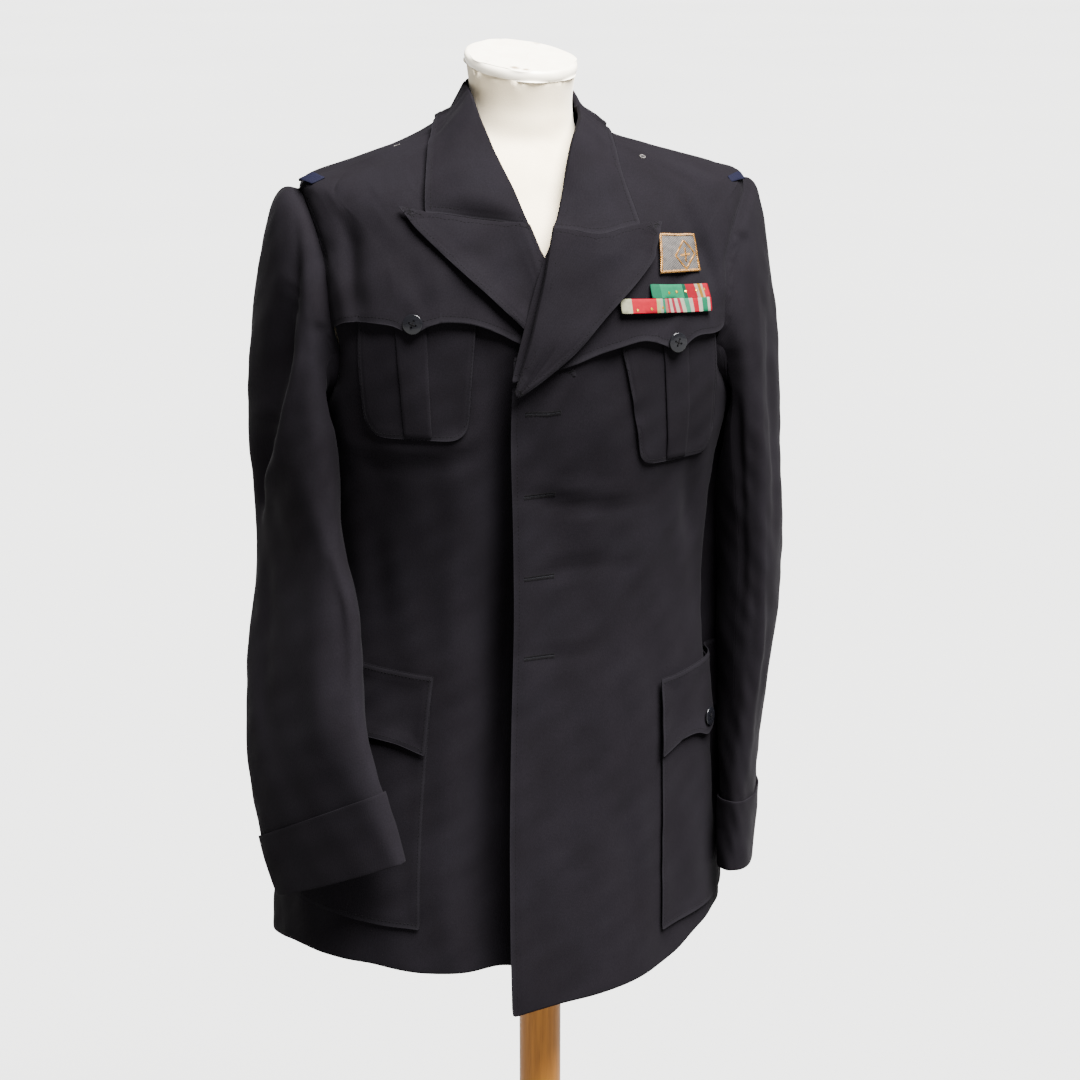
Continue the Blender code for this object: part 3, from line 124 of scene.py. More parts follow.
def body_place(points):
    """Angles round the body, and the outward directions."""
    heights = points[:, 2]
    centre_x, half_width, front, back = level(BODY, heights)
    depth = np.where(points[:, 1] < 0, front, back)
    across = (points[:, 0] - centre_x) / half_width
    forward = -points[:, 1] / depth
    out = unit(np.stack([across / half_width, -forward / depth, np.zeros(len(points))], axis=1))
    out[:, 2] = BODY_RISE * eased(heights, *BODY_SHOULDER)
    return np.degrees(np.arctan2(across, forward)), unit(out)


def sleeve_place(side, points):
    """Angles round a sleeve, and the outward directions."""
    heights = points[:, 2]
    centre_x, centre_y, half_wide, half_thick, yaw = level(SLEEVE[side], heights)
    yaw = np.radians(yaw)
    thick = np.stack([side * np.cos(yaw), -np.sin(yaw)], axis=1)
    wide = np.stack([-side * np.sin(yaw), -np.cos(yaw)], axis=1)
    offset = points[:, :2] - np.stack([centre_x, centre_y], axis=1)
    outside = (offset * thick).sum(axis=1) / half_thick
    front = (offset * wide).sum(axis=1) / half_wide
    flat = thick * (outside / half_thick)[:, None] + wide * (front / half_wide)[:, None]
    rise = SLEEVE_RISE * eased(heights, *SLEEVE_SHOULDER)
    out = unit(np.concatenate([unit(flat), rise[:, None]], axis=1))
    return np.degrees(np.arctan2(front, outside)), out


# Folds listed one by one: each runs from one place to another, bows sideways by its bow, and is a trough where its
# depth is negative
Fold = namedtuple("Fold", "angle height to_angle to_height bow width depth")
BODY_FOLDS = (
    # hollows beside the armholes, and the shoulder
    Fold(-52.5, 1.4, -46.5, 1.312, 0.0, 0.011, -0.008),
    Fold(33.5, 1.402, 40.5, 1.305, -0.008, 0.008, -0.006),
    Fold(40.5, 1.432, 40.0, 1.402, 0.002, 0.006, -0.0016),
    # where the left lapel breaks into the front
    Fold(3.5, 1.266, -8.5, 1.186, 0.003, 0.008, 0.0042),
    Fold(-2.6, 1.256, -11.0, 1.194, 0.0, 0.008, -0.003),
    # pulls from the buttonholes
    Fold(-8.0, 1.158, 24.0, 1.143, 0.004, 0.006, -0.0024),
    Fold(-6.0, 1.17, 18.0, 1.16, 0.003, 0.005, 0.0014),
    Fold(-7.6, 1.085, 22.0, 1.09, -0.004, 0.006, -0.002),
    Fold(-6.5, 1.013, 14.0, 1.016, 0.002, 0.006, -0.0016),
    # hollows at the waist beside the sleeves
    Fold(42.0, 1.178, 50.0, 1.098, 0.003, 0.014, -0.0044),
    Fold(-49.0, 1.186, -51.0, 1.035, 0.004, 0.018, -0.003),
    Fold(63.0, 1.3, 66.0, 0.82, 0.0, 0.013, -0.011),
    Fold(82.0, 1.2, 84.0, 0.84, 0.0, 0.028, 0.013),
    # under the right chest pocket, and down the right front
    Fold(-60.0, 1.197, -18.0, 1.212, 0.006, 0.006, 0.0024),
    Fold(-56.0, 1.181, -22.0, 1.192, 0.005, 0.007, -0.0024),
    Fold(-25.0, 1.19, -25.5, 0.97, 0.004, 0.014, 0.0036),
    Fold(-16.0, 1.14, -15.0, 0.96, 0.002, 0.01, -0.0024),
    # skirts
    Fold(3.3, 0.975, 3.0, 0.715, 0.003, 0.012, 0.0024),
    Fold(20.0, 0.97, 19.5, 0.76, -0.004, 0.013, -0.0028),
    Fold(28.0, 0.86, 29.0, 0.72, 0.002, 0.01, 0.0012),
    Fold(-24.0, 0.93, -20.0, 0.735, 0.003, 0.012, 0.003),
    Fold(-12.0, 0.95, -12.0, 0.745, 0.0, 0.012, -0.0014),
    Fold(84.0, 0.88, 70.0, 0.76, 0.003, 0.008, -0.0018),
    # the back: blades, waist, collar and skirt
    Fold(136.0, 1.345, 121.0, 1.25, 0.005, 0.012, -0.0036),
    Fold(-133.0, 1.338, -119.0, 1.236, -0.004, 0.013, -0.004),
    Fold(126.0, 1.3, 114.0, 1.225, 0.002, 0.009, 0.0022),
    Fold(-124.0, 1.292, -112.0, 1.22, -0.002, 0.01, 0.0024),
    Fold(160.0, 1.424, 203.0, 1.421, -0.006, 0.007, -0.0022),
    Fold(165.0, 1.398, 196.0, 1.402, -0.004, 0.008, -0.0014),
    Fold(108.0, 1.106, 158.0, 1.07, 0.006, 0.009, -0.0026),
    Fold(-106.0, 1.098, -150.0, 1.062, -0.005, 0.01, -0.0028),
    Fold(118.0, 1.058, 164.0, 1.04, 0.004, 0.008, -0.0018),
    Fold(-122.0, 1.046, -168.0, 1.032, -0.003, 0.008, -0.0014),
    Fold(150.0, 0.97, 156.0, 0.73, 0.004, 0.018, 0.0034),
    Fold(-146.0, 0.96, -153.0, 0.735, -0.003, 0.018, 0.0032),
    Fold(176.0, 1.04, 179.0, 0.73, 0.003, 0.016, -0.0026),
    Fold(128.0, 0.95, 131.0, 0.745, 0.002, 0.014, -0.002),
    Fold(-124.0, 0.93, -129.0, 0.74, -0.003, 0.015, -0.0022),
)
LEFT_EDGE_FOLDS = (
    Fold(-12.0, 1.21, -9.4, 0.96, 0.0, 0.02, 0.008),
    Fold(-9.4, 0.96, -5.8, 0.69, 0.0, 0.02, 0.006),
)
RIGHT_EDGE_FOLDS = (
    Fold(-12.5, 1.26, -9.0, 0.88, 0.0, 0.016, -0.018),
    Fold(-11.0, 1.06, -5.5, 0.64, 0.0, 0.022, -0.021),
)
COLLAR_FOLDS = (
    Fold(-92.0, 1.476, -98.0, 1.464, 0.0, 0.02, -0.0034),
    Fold(70.0, 1.474, 62.0, 1.46, 0.0, 0.022, -0.004),
)
SLEEVE_FOLDS = {
    RIGHT: (
        # the long trough down the upper arm to the elbow, and the ridge in front of it
        Fold(86.0, 1.395, 54.0, 1.322, 0.0, 0.013, -0.012),
        Fold(58.0, 1.335, 17.0, 1.202, 0.004, 0.016, -0.018),
        Fold(20.0, 1.212, -26.0, 1.122, 0.003, 0.011, -0.017),
        Fold(104.0, 1.38, 76.0, 1.29, 0.004, 0.01, 0.0024),
        Fold(78.0, 1.3, 30.0, 1.178, 0.004, 0.008, 0.0052),
        Fold(34.0, 1.184, -20.0, 1.118, 0.002, 0.007, 0.0046),
        Fold(-8.0, 1.3, -30.0, 1.15, -0.002, 0.011, 0.0022),
        # forearm
        Fold(78.0, 1.1, 62.0, 0.985, 0.003, 0.012, -0.003),
        Fold(40.0, 1.06, 30.0, 0.93, -0.003, 0.012, 0.0026),
        Fold(-14.0, 1.08, -22.0, 0.935, 0.003, 0.011, -0.0028),
        # behind the elbow and up the back of the arm
        Fold(-84.0, 1.176, -140.0, 1.146, 0.004, 0.007, -0.0042),
        Fold(-76.0, 1.118, -136.0, 1.124, -0.004, 0.008, -0.0036),
        Fold(-96.0, 1.33, -110.0, 1.215, 0.003, 0.012, -0.0036),
        Fold(-120.0, 1.06, -112.0, 0.93, 0.002, 0.013, -0.0022),
    ),
    LEFT: (
        Fold(150.0, 1.18, 150.0, 0.82, 0.0, 0.034, 0.009),
        Fold(112.0, 1.35, 103.0, 1.13, -0.003, 0.009, -0.005),
        Fold(104.0, 1.14, 107.0, 1.03, 0.002, 0.009, -0.002),
        Fold(88.0, 1.36, 69.0, 1.16, 0.004, 0.01, 0.0036),
        Fold(70.0, 1.19, 66.0, 0.93, -0.003, 0.01, 0.003),
        Fold(46.0, 1.29, 40.0, 1.09, 0.003, 0.01, -0.004),
        Fold(52.0, 1.06, 46.0, 0.89, -0.002, 0.01, -0.0014),
        Fold(14.0, 1.33, 8.0, 1.18, 0.003, 0.013, 0.002),
        Fold(-86.0, 1.15, -138.0, 1.112, 0.004, 0.008, -0.0036),
        Fold(-80.0, 1.096, -128.0, 1.092, -0.003, 0.008, -0.0028),
        Fold(-92.0, 1.33, -104.0, 1.205, 0.003, 0.012, -0.0034),
        Fold(-112.0, 1.04, -106.0, 0.9, 0.002, 0.012, -0.0018),
    ),
}

# Broad unevenness of worn cloth: waves a metre round and up, their phase, and how deep
Swell = namedtuple("Swell", "round up phase depth")
SWELLS = (
    Swell(9.0, 5.0, 0.3, 0.00045),
    Swell(-14.0, 11.0, 1.7, 0.00040),
    Swell(23.0, 8.0, 4.1, 0.00028),
    Swell(-31.0, 27.0, 2.6, 0.00018),
    Swell(17.0, -36.0, 5.2, 0.00014),
)


FOLD_END_DEPTH, FOLD_END_REACH = 0.25, 1.5


def fold_depth(angles, heights, folds, radius):
    """How far the folds and the broad swells move the cloth out."""
    depth = np.zeros(len(heights))
    for swell in SWELLS:
        turn = np.radians(angles) * radius * swell.round + heights * swell.up
        depth += swell.depth * np.sin(2 * math.pi * turn + swell.phase)
    for fold in folds:
        across = np.radians((angles - fold.angle + 180) % 360 - 180) * radius
        up = heights - fold.height
        run = np.array([math.radians(fold.to_angle - fold.angle) * radius, fold.to_height - fold.height])
        length = np.linalg.norm(run)
        run /= length
        along = across * run[0] + up * run[1]
        share = np.clip(along / length, 0.0, 1.0)
        beside = across * run[1] - up * run[0] - fold.bow * 4 * share * (1 - share)
        beyond = along - share * length
        taper = FOLD_END_DEPTH + (1 - FOLD_END_DEPTH) * np.sin(math.pi * share) ** 0.7
        spread = (beside / fold.width) ** 2 + (beyond / (FOLD_END_REACH * fold.width)) ** 2
        depth += fold.depth * taper * np.exp(-spread)
    return depth


# Making cloth from the solids

MERGE_REACH = 0.00001
FLAT_ENOUGH, SQUARE_ENOUGH = math.radians(50), math.radians(75)
CORNER = math.radians(52)
OUTER_FACE, RIM_FACE, SAME_SIDE, FACING_OUT = 0.55, 0.75, 0.5, 0.4
ROUNDING_PASSES = 2
ABOVE_CLOTH = 0.002

# A turned edge: how deep and wide its stitches' groove is, how it rolls over, how wide it lifts, and how wide its
# rim is painted lighter as a highlight
GROOVE_DEPTH, GROOVE_WIDTH = 0.00035, 0.0014
ROLL_DEPTH, ROLL_WIDTH = 0.0005, 0.0012
LIFT_WIDTH, PAINTED_RIM_WIDTH = 0.010, 0.0022


def select_only(piece):
    bpy.ops.object.select_all(action="DESELECT")
    piece.select_set(True)
    bpy.context.view_layer.objects.active = piece


def get_points(mesh):
    points = np.empty(len(mesh.vertices) * 3)
    mesh.vertices.foreach_get("co", points)
    return points.reshape(-1, 3)


def set_points(mesh, points):
    mesh.vertices.foreach_set("co", points.ravel())
    mesh.update()


def keep_points(mesh, name, values):
    """A number for each point of the mesh, which materials can read."""
    made = mesh.attributes.get(name) or mesh.attributes.new(name, "FLOAT", "POINT")
    made.data.foreach_set("value", values.astype(np.float32))


def new_piece(name, mesh):
    made = bpy.data.objects.new(name, mesh)
    bpy.context.scene.collection.objects.link(made)
    return made


def point_tree(spots):
    """A tree that finds the nearest of some spots."""
    tree = kdtree.KDTree(len(spots))
    for index, spot in enumerate(spots):
        tree.insert(spot, index)
    tree.balance()
    return tree


def distances(tree, points):
    return np.array([tree.find(point)[2] for point in points])


def refined(node, name, levels, crease=0.5, place=None):
    """A finer copy of a solid: its triangles merged to quads, and rounded so that it still passes through every
    point of the solid. Where place gives the outward directions, the outer edge is marked for what follows."""
    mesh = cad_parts[node].data.copy()
    mesh.name = name
    mesh.materials.clear()
    piece = new_piece(name, mesh)
    select_only(piece)
    bpy.ops.object.mode_set(mode="EDIT")
    bpy.ops.mesh.select_mode(type="VERT")
    bpy.ops.mesh.select_all(action="SELECT")
    bpy.ops.mesh.remove_doubles(threshold=MERGE_REACH)
    bpy.ops.mesh.tris_convert_to_quads(face_threshold=FLAT_ENOUGH, shape_threshold=SQUARE_ENOUGH)
    bpy.ops.object.mode_set(mode="OBJECT")
    if mesh.attributes.get("sharp_edge"):
        mesh.attributes.remove(mesh.attributes["sharp_edge"])
    shape = bmesh.new()
    shape.from_mesh(mesh)
    creases = shape.edges.layers.float.new("crease_edge")
    edge_mark = shape.verts.layers.float.new("Edge")
    shape.normal_update()
    outs = place(np.array([face.calc_center_median() for face in shape.faces]))[1] if place else None
    for edge in shape.edges:
        if len(edge.link_faces) == 2 and edge.calc_face_angle() > CORNER:
            edge[creases] = crease
            if place:
                facing = sorted(face.normal.dot(Vector(outs[face.index])) for face in edge.link_faces)
                if facing[1] > OUTER_FACE and abs(facing[0]) < RIM_FACE:
                    for vertex in edge.verts:
                        vertex[edge_mark] = 1.0
    shape.to_mesh(mesh)
    shape.free()
    rest = get_points(mesh)
    held = rest.copy()
    fine = piece.modifiers.new("Fine", "SUBSURF")
    fine.levels = fine.render_levels = 1
    for _ in range(ROUNDING_PASSES):
        evaluated = piece.evaluated_get(bpy.context.evaluated_depsgraph_get())
        limit = get_points(evaluated.to_mesh())[: len(rest)]
        evaluated.to_mesh_clear()
        held += rest - limit
        set_points(mesh, held)
    fine.levels = fine.render_levels = levels
    select_only(piece)
    bpy.ops.object.modifier_apply(modifier="Fine")
    return piece


def outer_runs(piece, place, way=None, least=0.35):
    """Runs of stations along the marked outer edge: point, way in, and normal. With way, only edges whose way in
    goes that way are kept."""
    mesh = piece.data
    shape = bmesh.new()
    shape.from_mesh(mesh)
    shape.verts.ensure_lookup_table()
    mark = shape.verts.layers.float["Edge"]
    on_edge = [vertex for vertex in shape.verts if vertex[mark] > 0.999]
    outs = dict(zip([v.index for v in on_edge], place(np.array([v.co for v in on_edge]))[1]))
    stations = {}
    for vertex in on_edge:
        out = Vector(outs[vertex.index])
        ahead = [edge.other_vert(vertex) for edge in vertex.link_edges if edge.other_vert(vertex)[mark] > 0.999]
        if len(ahead) < 2:
            continue
        faces = [face for face in vertex.link_faces if face.normal.dot(out) > SAME_SIDE]
        if not faces:
            continue
        normal = sum((face.normal for face in faces), Vector()).normalized()
        inside = sum((face.calc_center_median() for face in faces), Vector()) / len(faces) - vertex.co
        along = (ahead[0].co - ahead[1].co).normalized()
        inward = normal.cross(along).normalized()
        if inward.dot(inside) < 0:
            inward.negate()
        if way is None or inward.dot(Vector(way)) > least:
            stations[vertex.index] = (vertex.co.copy(), inward, normal, [v.index for v in ahead])
    shape.free()
    runs, left = [], set(stations)
    while left:
        ends = [i for i in left if sum(n in left for n in stations[i][3]) <= 1]
        here = min(ends) if ends else min(left)
        run = []
        while here is not None:
            left.discard(here)
            run.append(stations[here][:3])
            following = [n for n in stations[here][3] if n in left]
            here = following[0] if following else None
        if len(run) > 3:
            runs.append(run)
    return runs


def bell(away, width):
    return np.exp(-((away / width) ** 2))


def press_edge(piece, place, way, edge):
    """A turned and stitched edge: standing off a little by its lift, rounded at its very edge, and with a shallow
    groove under the stitches."""
    points = get_points(piece.data)
    spots = [station[0] for run in outer_runs(piece, place, way) for station in run]
    away = distances(point_tree(spots), points)
    out = place(points)[1]
    normals = np.empty(len(points) * 3)
    piece.data.vertices.foreach_get("normal", normals)
    facing = (normals.reshape(-1, 3) * out).sum(axis=1) > FACING_OUT
    sink = GROOVE_DEPTH * bell(away - edge.inset, GROOVE_WIDTH) + ROLL_DEPTH * bell(away, ROLL_WIDTH)
    rise = edge.lift * bell(away, LIFT_WIDTH)
    set_points(piece.data, points + out * (rise - sink * facing)[:, None])
    # painted highlight: the outward face is marked along its rim, and the wool's colour is mixed lighter there as
    # if light caught the turned edge
    keep_points(piece.data, "PaintedRimHighlight", bell(away, PAINTED_RIM_WIDTH) * facing)


def lay_weave(piece, place, radius):
    """A map in metres that follows the cloth, so that the weave runs down and round it."""
    mesh = piece.data
    points = get_points(mesh)
    angles = place(points)[0]
    middle = math.degrees(math.atan2(*np.mean([np.sin(np.radians(angles)), np.cos(np.radians(angles))], axis=1)))
    turned = (angles - middle + 180) % 360 - 180
    flat = np.stack([np.radians(turned) * radius, points[:, 2]], axis=1)
    corners = np.empty(len(mesh.loops), dtype=np.int32)
    mesh.loops.foreach_get("vertex_index", corners)
    layer = mesh.uv_layers.new(name="Weave")
    layer.data.foreach_set("uv", flat[corners].ravel())


def finish_piece(piece, finish, node=None):
    piece.data.materials.clear()
    piece.data.materials.append(finish)
    select_only(piece)
    bpy.ops.object.shade_smooth_by_angle(angle=SMOOTH_ANGLE)
    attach(piece, "root")
    if node:
        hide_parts(node)
    return piece


# Materials

# The wool's two ground tones, and the lighter tone painted along turned rims as a highlight
WOOL_DARK, WOOL_LIGHT, WOOL_RIM_HIGHLIGHT = "#050405", "#080709", "#0d0c0e"
WAVE_SCALE = 0.314  # the wave texture's scale where its bands lie a metre apart


def colour(code):
    """Linear colour from an sRGB hex code."""
    parts = [int(code[start : start + 2], 16) / 255 for start in (1, 3, 5)]
    return (*[part / 12.92 if part <= 0.04045 else ((part + 0.055) / 1.055) ** 2.4 for part in parts], 1.0)


def add(tree, kind, inputs=(), **settings):
    """A node with its settings, and its inputs as values or as other nodes' outputs."""
    made = tree.nodes.new(kind)
    for name, value in settings.items():
        setattr(made, name, value)
    for name, value in dict(inputs).items():
        if isinstance(value, bpy.types.NodeSocket):
            tree.links.new(value, made.inputs[name])
        else:
            made.inputs[name].default_value = value
    return made


def object_place(tree):
    return add(tree, "ShaderNodeTexCoord").outputs["Object"]


def weave_place(tree):
    return add(tree, "ShaderNodeUVMap", uv_map="Weave").outputs["UV"]


def point_value(tree, name):
    return add(tree, "ShaderNodeAttribute", attribute_name=name).outputs["Fac"]


def mapped(tree, place, **inputs):
    return add(tree, "ShaderNodeMapping", {"Vector": place, **inputs}).outputs["Vector"]


def noise(tree, place, size, detail=2.0, roughness=0.5):
    """Soft random spots about as wide as size."""
    return add(tree, "ShaderNodeTexNoise", {
        "Vector": place, "Scale": 1 / size, "Detail": detail, "Roughness": roughness}).outputs["Fac"]


def cells(tree, place, size):
    return add(tree, "ShaderNodeTexVoronoi", {"Vector": place, "Scale": 1 / size}).outputs["Distance"]


def bands(tree, place, spacing, way="X", wander=0.0, detail=2.0, detail_scale=1.0):
    """Bands a spacing apart, which wander off their straight line."""
    return add(tree, "ShaderNodeTexWave", {
        "Vector": place, "Scale": WAVE_SCALE / spacing, "Distortion": wander, "Detail": detail,
        "Detail Scale": detail_scale}, wave_type="BANDS", bands_direction=way).outputs["Fac"]


def worked_out(tree, operation, *values):
    return add(tree, "ShaderNodeMath", dict(enumerate(values)), operation=operation).outputs[0]


def ranged(tree, value, start=0.0, stop=1.0, low=0.0, high=1.0):
    return add(tree, "ShaderNodeMapRange", {
        "Value": value, "From Min": start, "From Max": stop, "To Min": low, "To Max": high}).outputs["Result"]


def mixed(tree, share, first, second, blend="MIX"):
    """A colour between two, or blended from them, each a hex code or another node's output."""
    first, second = [colour(tone) if isinstance(tone, str) else tone for tone in (first, second)]
    return add(tree, "ShaderNodeMix", {"Factor": share, 6: first, 7: second}, data_type="RGBA",
               blend_type=blend).outputs[2]


def bumped(tree, height, strength, distance):
    return add(tree, "ShaderNodeBump", {
        "Height": height, "Strength": strength, "Distance": distance}).outputs["Normal"]


def new_material(name):
    made = bpy.data.materials.new(name)
    made.use_nodes = True
    tree = made.node_tree
    return made, tree, tree.nodes["Principled BSDF"]


def settle(shader, **values):
    """Values, or other nodes' outputs, on the shader's own sockets."""
    for name, value in values.items():
        socket = shader.inputs[name.replace("_", " ")]
        if isinstance(value, bpy.types.NodeSocket):
            shader.id_data.links.new(value, socket)
        else:
            socket.default_value = value


def speckled(name, size, dark, light, detail=2.0, **values):
    """A material whose colour wanders between two tones in small spots."""
    made, tree, shader = new_material(name)
    spots = noise(tree, object_place(tree), size, detail)
    settle(shader, Base_Color=mixed(tree, spots, dark, light), **values)
    return made


def worsted_wool():
    """Worsted wool gabardine, piece-dyed navy-black: a dry dark ground with a steep fine twill, and a soft bloom of
    fibre where the light grazes it. The twill is drawn 1.5 mm apart, three times as coarse as it is, to show."""
    made, tree, shader = new_material("Navy-black worsted wool gabardine")
    place = object_place(tree)
    turned = mapped(tree, weave_place(tree), Rotation=(0.0, 0.0, math.radians(27)))
    twill = bands(tree, turned, 0.0015, wander=0.6, detail=1.0, detail_scale=2.0)
    fibre = noise(tree, place, 0.0011)
    ground = mixed(tree, noise(tree, place, 0.055, 3.0, 0.6), WOOL_DARK, WOOL_LIGHT)
    # painted highlight: the colour is mixed lighter along the rims of turned edges
    rim_highlighted = mixed(tree, worked_out(tree, "MULTIPLY", point_value(tree, "PaintedRimHighlight"), 0.35), ground, WOOL_RIM_HIGHLIGHT)
    toned = mixed(tree, 1.0, rim_highlighted, ranged(tree, fibre, 0.3, 0.7, 0.86, 1.14), "MULTIPLY")
    nap = worked_out(tree, "ADD", fibre, twill)
    settle(shader, Base_Color=toned, Normal=bumped(tree, nap, 0.35, 0.00018), Roughness=0.88,
           Specular_IOR_Level=0.012, Sheen_Weight=0.004, Sheen_Roughness=0.42, Sheen_Tint=colour("#cac6cc"))
    return made


def polished_horn():
    """Dark buffalo horn, turned and buffed: nearly black, faintly streaked grey, with sharp small highlights."""
    made, tree, shader = new_material("Black buffalo horn, turned and buffed")
    place = object_place(tree)
    streak = noise(tree, mapped(tree, place, Scale=(180.0, 180.0, 620.0)), 1.0, 3.0)
    scratch = noise(tree, place, 0.0015, 4.0)
    settle(shader, Base_Color=mixed(tree, streak, "#020203", "#08080a"),
           Roughness=ranged(tree, scratch, low=0.14, high=0.32), Specular_IOR_Level=0.12, Coat_Weight=0.08,
           Coat_Roughness=0.10)
    return made


def navy_grosgrain():
    """Rayon grosgrain, woven with heavy cross ribs 1 mm apart: deep blue, with a dull silky shine painted lighter
    on each rib and painted shade between the ribs.
    """
    made, tree, shader = new_material("Navy rayon grosgrain")
    rib = bands(tree, weave_place(tree), 0.0010)
    # painted shine: the colour is lighter on each rib and darker between ribs
    settle(shader, Base_Color=mixed(tree, rib, "#030308", "#070712"), Normal=bumped(tree, rib, 0.6, 0.0002),
           Roughness=0.7, Specular_IOR_Level=0.02)
    return made


def bullion(name, dark, light, wire):
    """Metal purl, a fine wire wound in a coil and sewn down: broken sparkle from turn to turn, painted into the
    colour as lighter turns with painted shade between them, and darker in random soiled spots.
    """
    made, tree, shader = new_material(name)
    place = object_place(tree)
    coil = bands(tree, mapped(tree, place, Rotation=(0.0, math.radians(35), 0.0)), wire, wander=1.2, detail=1.0)
    # painted highlight and shade: the colour is lighter on each turn of the coil and darker between turns, dimmed
    # in random spots
    turn_glint_and_soil = worked_out(tree, "MULTIPLY", coil, noise(tree, place, 0.004, 3.0))
    settle(shader, Base_Color=mixed(tree, ranged(tree, turn_glint_and_soil, 0.05, 0.5), dark, light),
           Normal=bumped(tree, coil, 0.8, 0.0003), Roughness=0.46, Metallic=0.55)
    return made


# Ribbon bars: where each stripe starts, as a share of the bar, and its colour
UPPER_STRIPES = (
    (0.000, "#04281a"), (0.150, "#063422"), (0.520, "#021c12"), (0.570, "#3c0208"), (0.710, "#423a32"),
    (0.760, "#3c2806"), (0.810, "#423a32"), (0.850, "#48040c"), (0.960, "#300206"),
)
LOWER_STRIPES = (
    (0.000, "#48483a"), (0.090, "#4c040c"), (0.330, "#44442a"), (0.375, "#42403a"), (0.405, "#063022"),
    (0.435, "#422622"), (0.465, "#3e0a12"), (0.495, "#443e38"), (0.530, "#3a0810"), (0.560, "#443e38"),
    (0.595, "#3e0a12"), (0.625, "#424238"), (0.660, "#103426"), (0.700, "#443e38"), (0.740, "#46020a"),
    (0.800, "#4a4640"), (0.850, "#042e1e"), (0.920, "#4a4640"), (0.960, "#46020a"),
)


def service_ribbon(name, stripes):
    """Watered silk ribbon over a bar: fine cross ribs and woven stripes, a little faded and soiled."""
    made, tree, shader = new_material(name)
    striped = add(tree, "ShaderNodeValToRGB", {"Fac": point_value(tree, "Across")})
    striped.color_ramp.interpolation = "CONSTANT"
    elements = striped.color_ramp.elements
    elements.remove(elements[1])
    elements[0].position, elements[0].color = stripes[0][0], colour(stripes[0][1])
    for start, tone in stripes[1:]:
        elements.new(start).color = colour(tone)
    rib = bands(tree, weave_place(tree), 0.0009, "Y")
    soil = ranged(tree, noise(tree, object_place(tree), 0.003, 3.0), low=0.70, high=1.05)
    settle(shader, Base_Color=mixed(tree, 1.0, striped.outputs["Color"], soil, "MULTIPLY"),
           Normal=bumped(tree, rib, 0.5, 0.00015), Roughness=0.75, Specular_IOR_Level=0.02)
    return made


def form_cover():
    """Cotton jersey stretched over papier mache: matt warm cream, finely knitted, faintly yellowed in patches."""
    made, tree, shader = new_material("Cream cotton jersey cover")
    place = object_place(tree)
    patch = noise(tree, place, 0.04, 4.0)
    settle(shader, Base_Color=mixed(tree, patch, "#8f836c", "#a89c86"),
           Normal=bumped(tree, cells(tree, place, 0.0012), 0.35, 0.0002), Roughness=0.85, Specular_IOR_Level=0.25,
           Sheen_Weight=0.2)
    return made


# Scuffs on the neck cap, where hands lift the form
Scuff = namedtuple("Scuff", "x y height reach")
SCUFFS = (
    Scuff(-0.030, -0.036, 1.514, 0.005),
    Scuff(-0.021, -0.040, 1.512, 0.004),
    Scuff(-0.052, -0.020, 1.516, 0.004),
    Scuff(0.018, -0.020, 1.508, 0.005),
    Scuff(0.006, 0.045, 1.526, 0.006),
)


def painted_cap():
    """Turned wood under white enamel: smooth and satin, scuffed through to brown where it is handled."""
    made, tree, shader = new_material("White enamel over turned wood")
    place = object_place(tree)
    brush = noise(tree, place, 0.015, 5.0)
    ragged = noise(tree, place, 0.0018, 4.0)
    tone = mixed(tree, brush, "#a29a8a", "#b6b0a2")
    for scuff in SCUFFS:
        away = add(tree, "ShaderNodeVectorMath", {0: place, 1: (scuff.x, scuff.y, scuff.height)},
                   operation="DISTANCE").outputs["Value"]
        edge = worked_out(tree, "MULTIPLY_ADD", ragged, scuff.reach, away)
        tone = mixed(tree, ranged(tree, edge, scuff.reach, 1.6 * scuff.reach, 0.8, 0.0), tone, "#4e3614")
    settle(shader, Base_Color=tone, Normal=bumped(tree, brush, 0.2, 0.0004), Roughness=0.42)
    return made


def varnished_beech(name, stretch):
    """Beech, turned and varnished: honey brown, straight darker grain with short flecks, under a satin varnish."""
    made, tree, shader = new_material(name)
    grain_way = mapped(tree, object_place(tree), Scale=stretch)
    grain = noise(tree, grain_way, 0.004, 5.0, 0.6)
    flecked = ranged(tree, cells(tree, grain_way, 0.0022), 0.05, 0.25, 0.80, 1.0)
    tone = mixed(tree, 1.0, mixed(tree, grain, "#4e2e0a", "#7a4e16"), flecked, "MULTIPLY")
    settle(shader, Base_Color=tone, Normal=bumped(tree, grain, 0.15, 0.0002), Roughness=0.5,
           Specular_IOR_Level=0.08, Coat_Weight=0.03, Coat_Roughness=0.25)
    return made


wool = worsted_wool()
# Black spun-polyester sewing thread: round, twisted and a little brighter than the wool it lies on
thread = speckled("Navy-black polyester sewing thread", 0.0012, "#040404", "#090809", 1.0, Roughness=0.8,
                  Specular_IOR_Level=0.012)
# The cut middle of a buttonhole, where only the dark inner cloth shows
slit = speckled("Cut wool inside a buttonhole", 0.0008, "#050506", "#0d0d0f", Roughness=1.0,
                Specular_IOR_Level=0.05)
horn = polished_horn()
grosgrain = navy_grosgrain()
gold = bullion("Gold bullion purl", "#241400", "#6e4800", 0.0011)
silver = bullion("Silver bullion purl", "#161413", "#46423f", 0.0013)
upper_ribbon = service_ribbon("Woven silk service ribbon, upper bar", UPPER_STRIPES)
lower_ribbon = service_ribbon("Woven silk service ribbon, lower bar", LOWER_STRIPES)
jersey = form_cover()
enamel = painted_cap()
pole_wood = varnished_beech("Varnished beech, grain up the pole", (1.0, 1.0, 0.06))
base_wood = varnished_beech("Varnished beech, grain across the base", (0.08, 1.0, 1.0))
# Small stamped brass studs, gilt and rubbed
gilt = speckled("Gilt stamped brass", 0.001, "#5c4010", "#b08c3c", Roughness=0.35, Metallic=1.0)
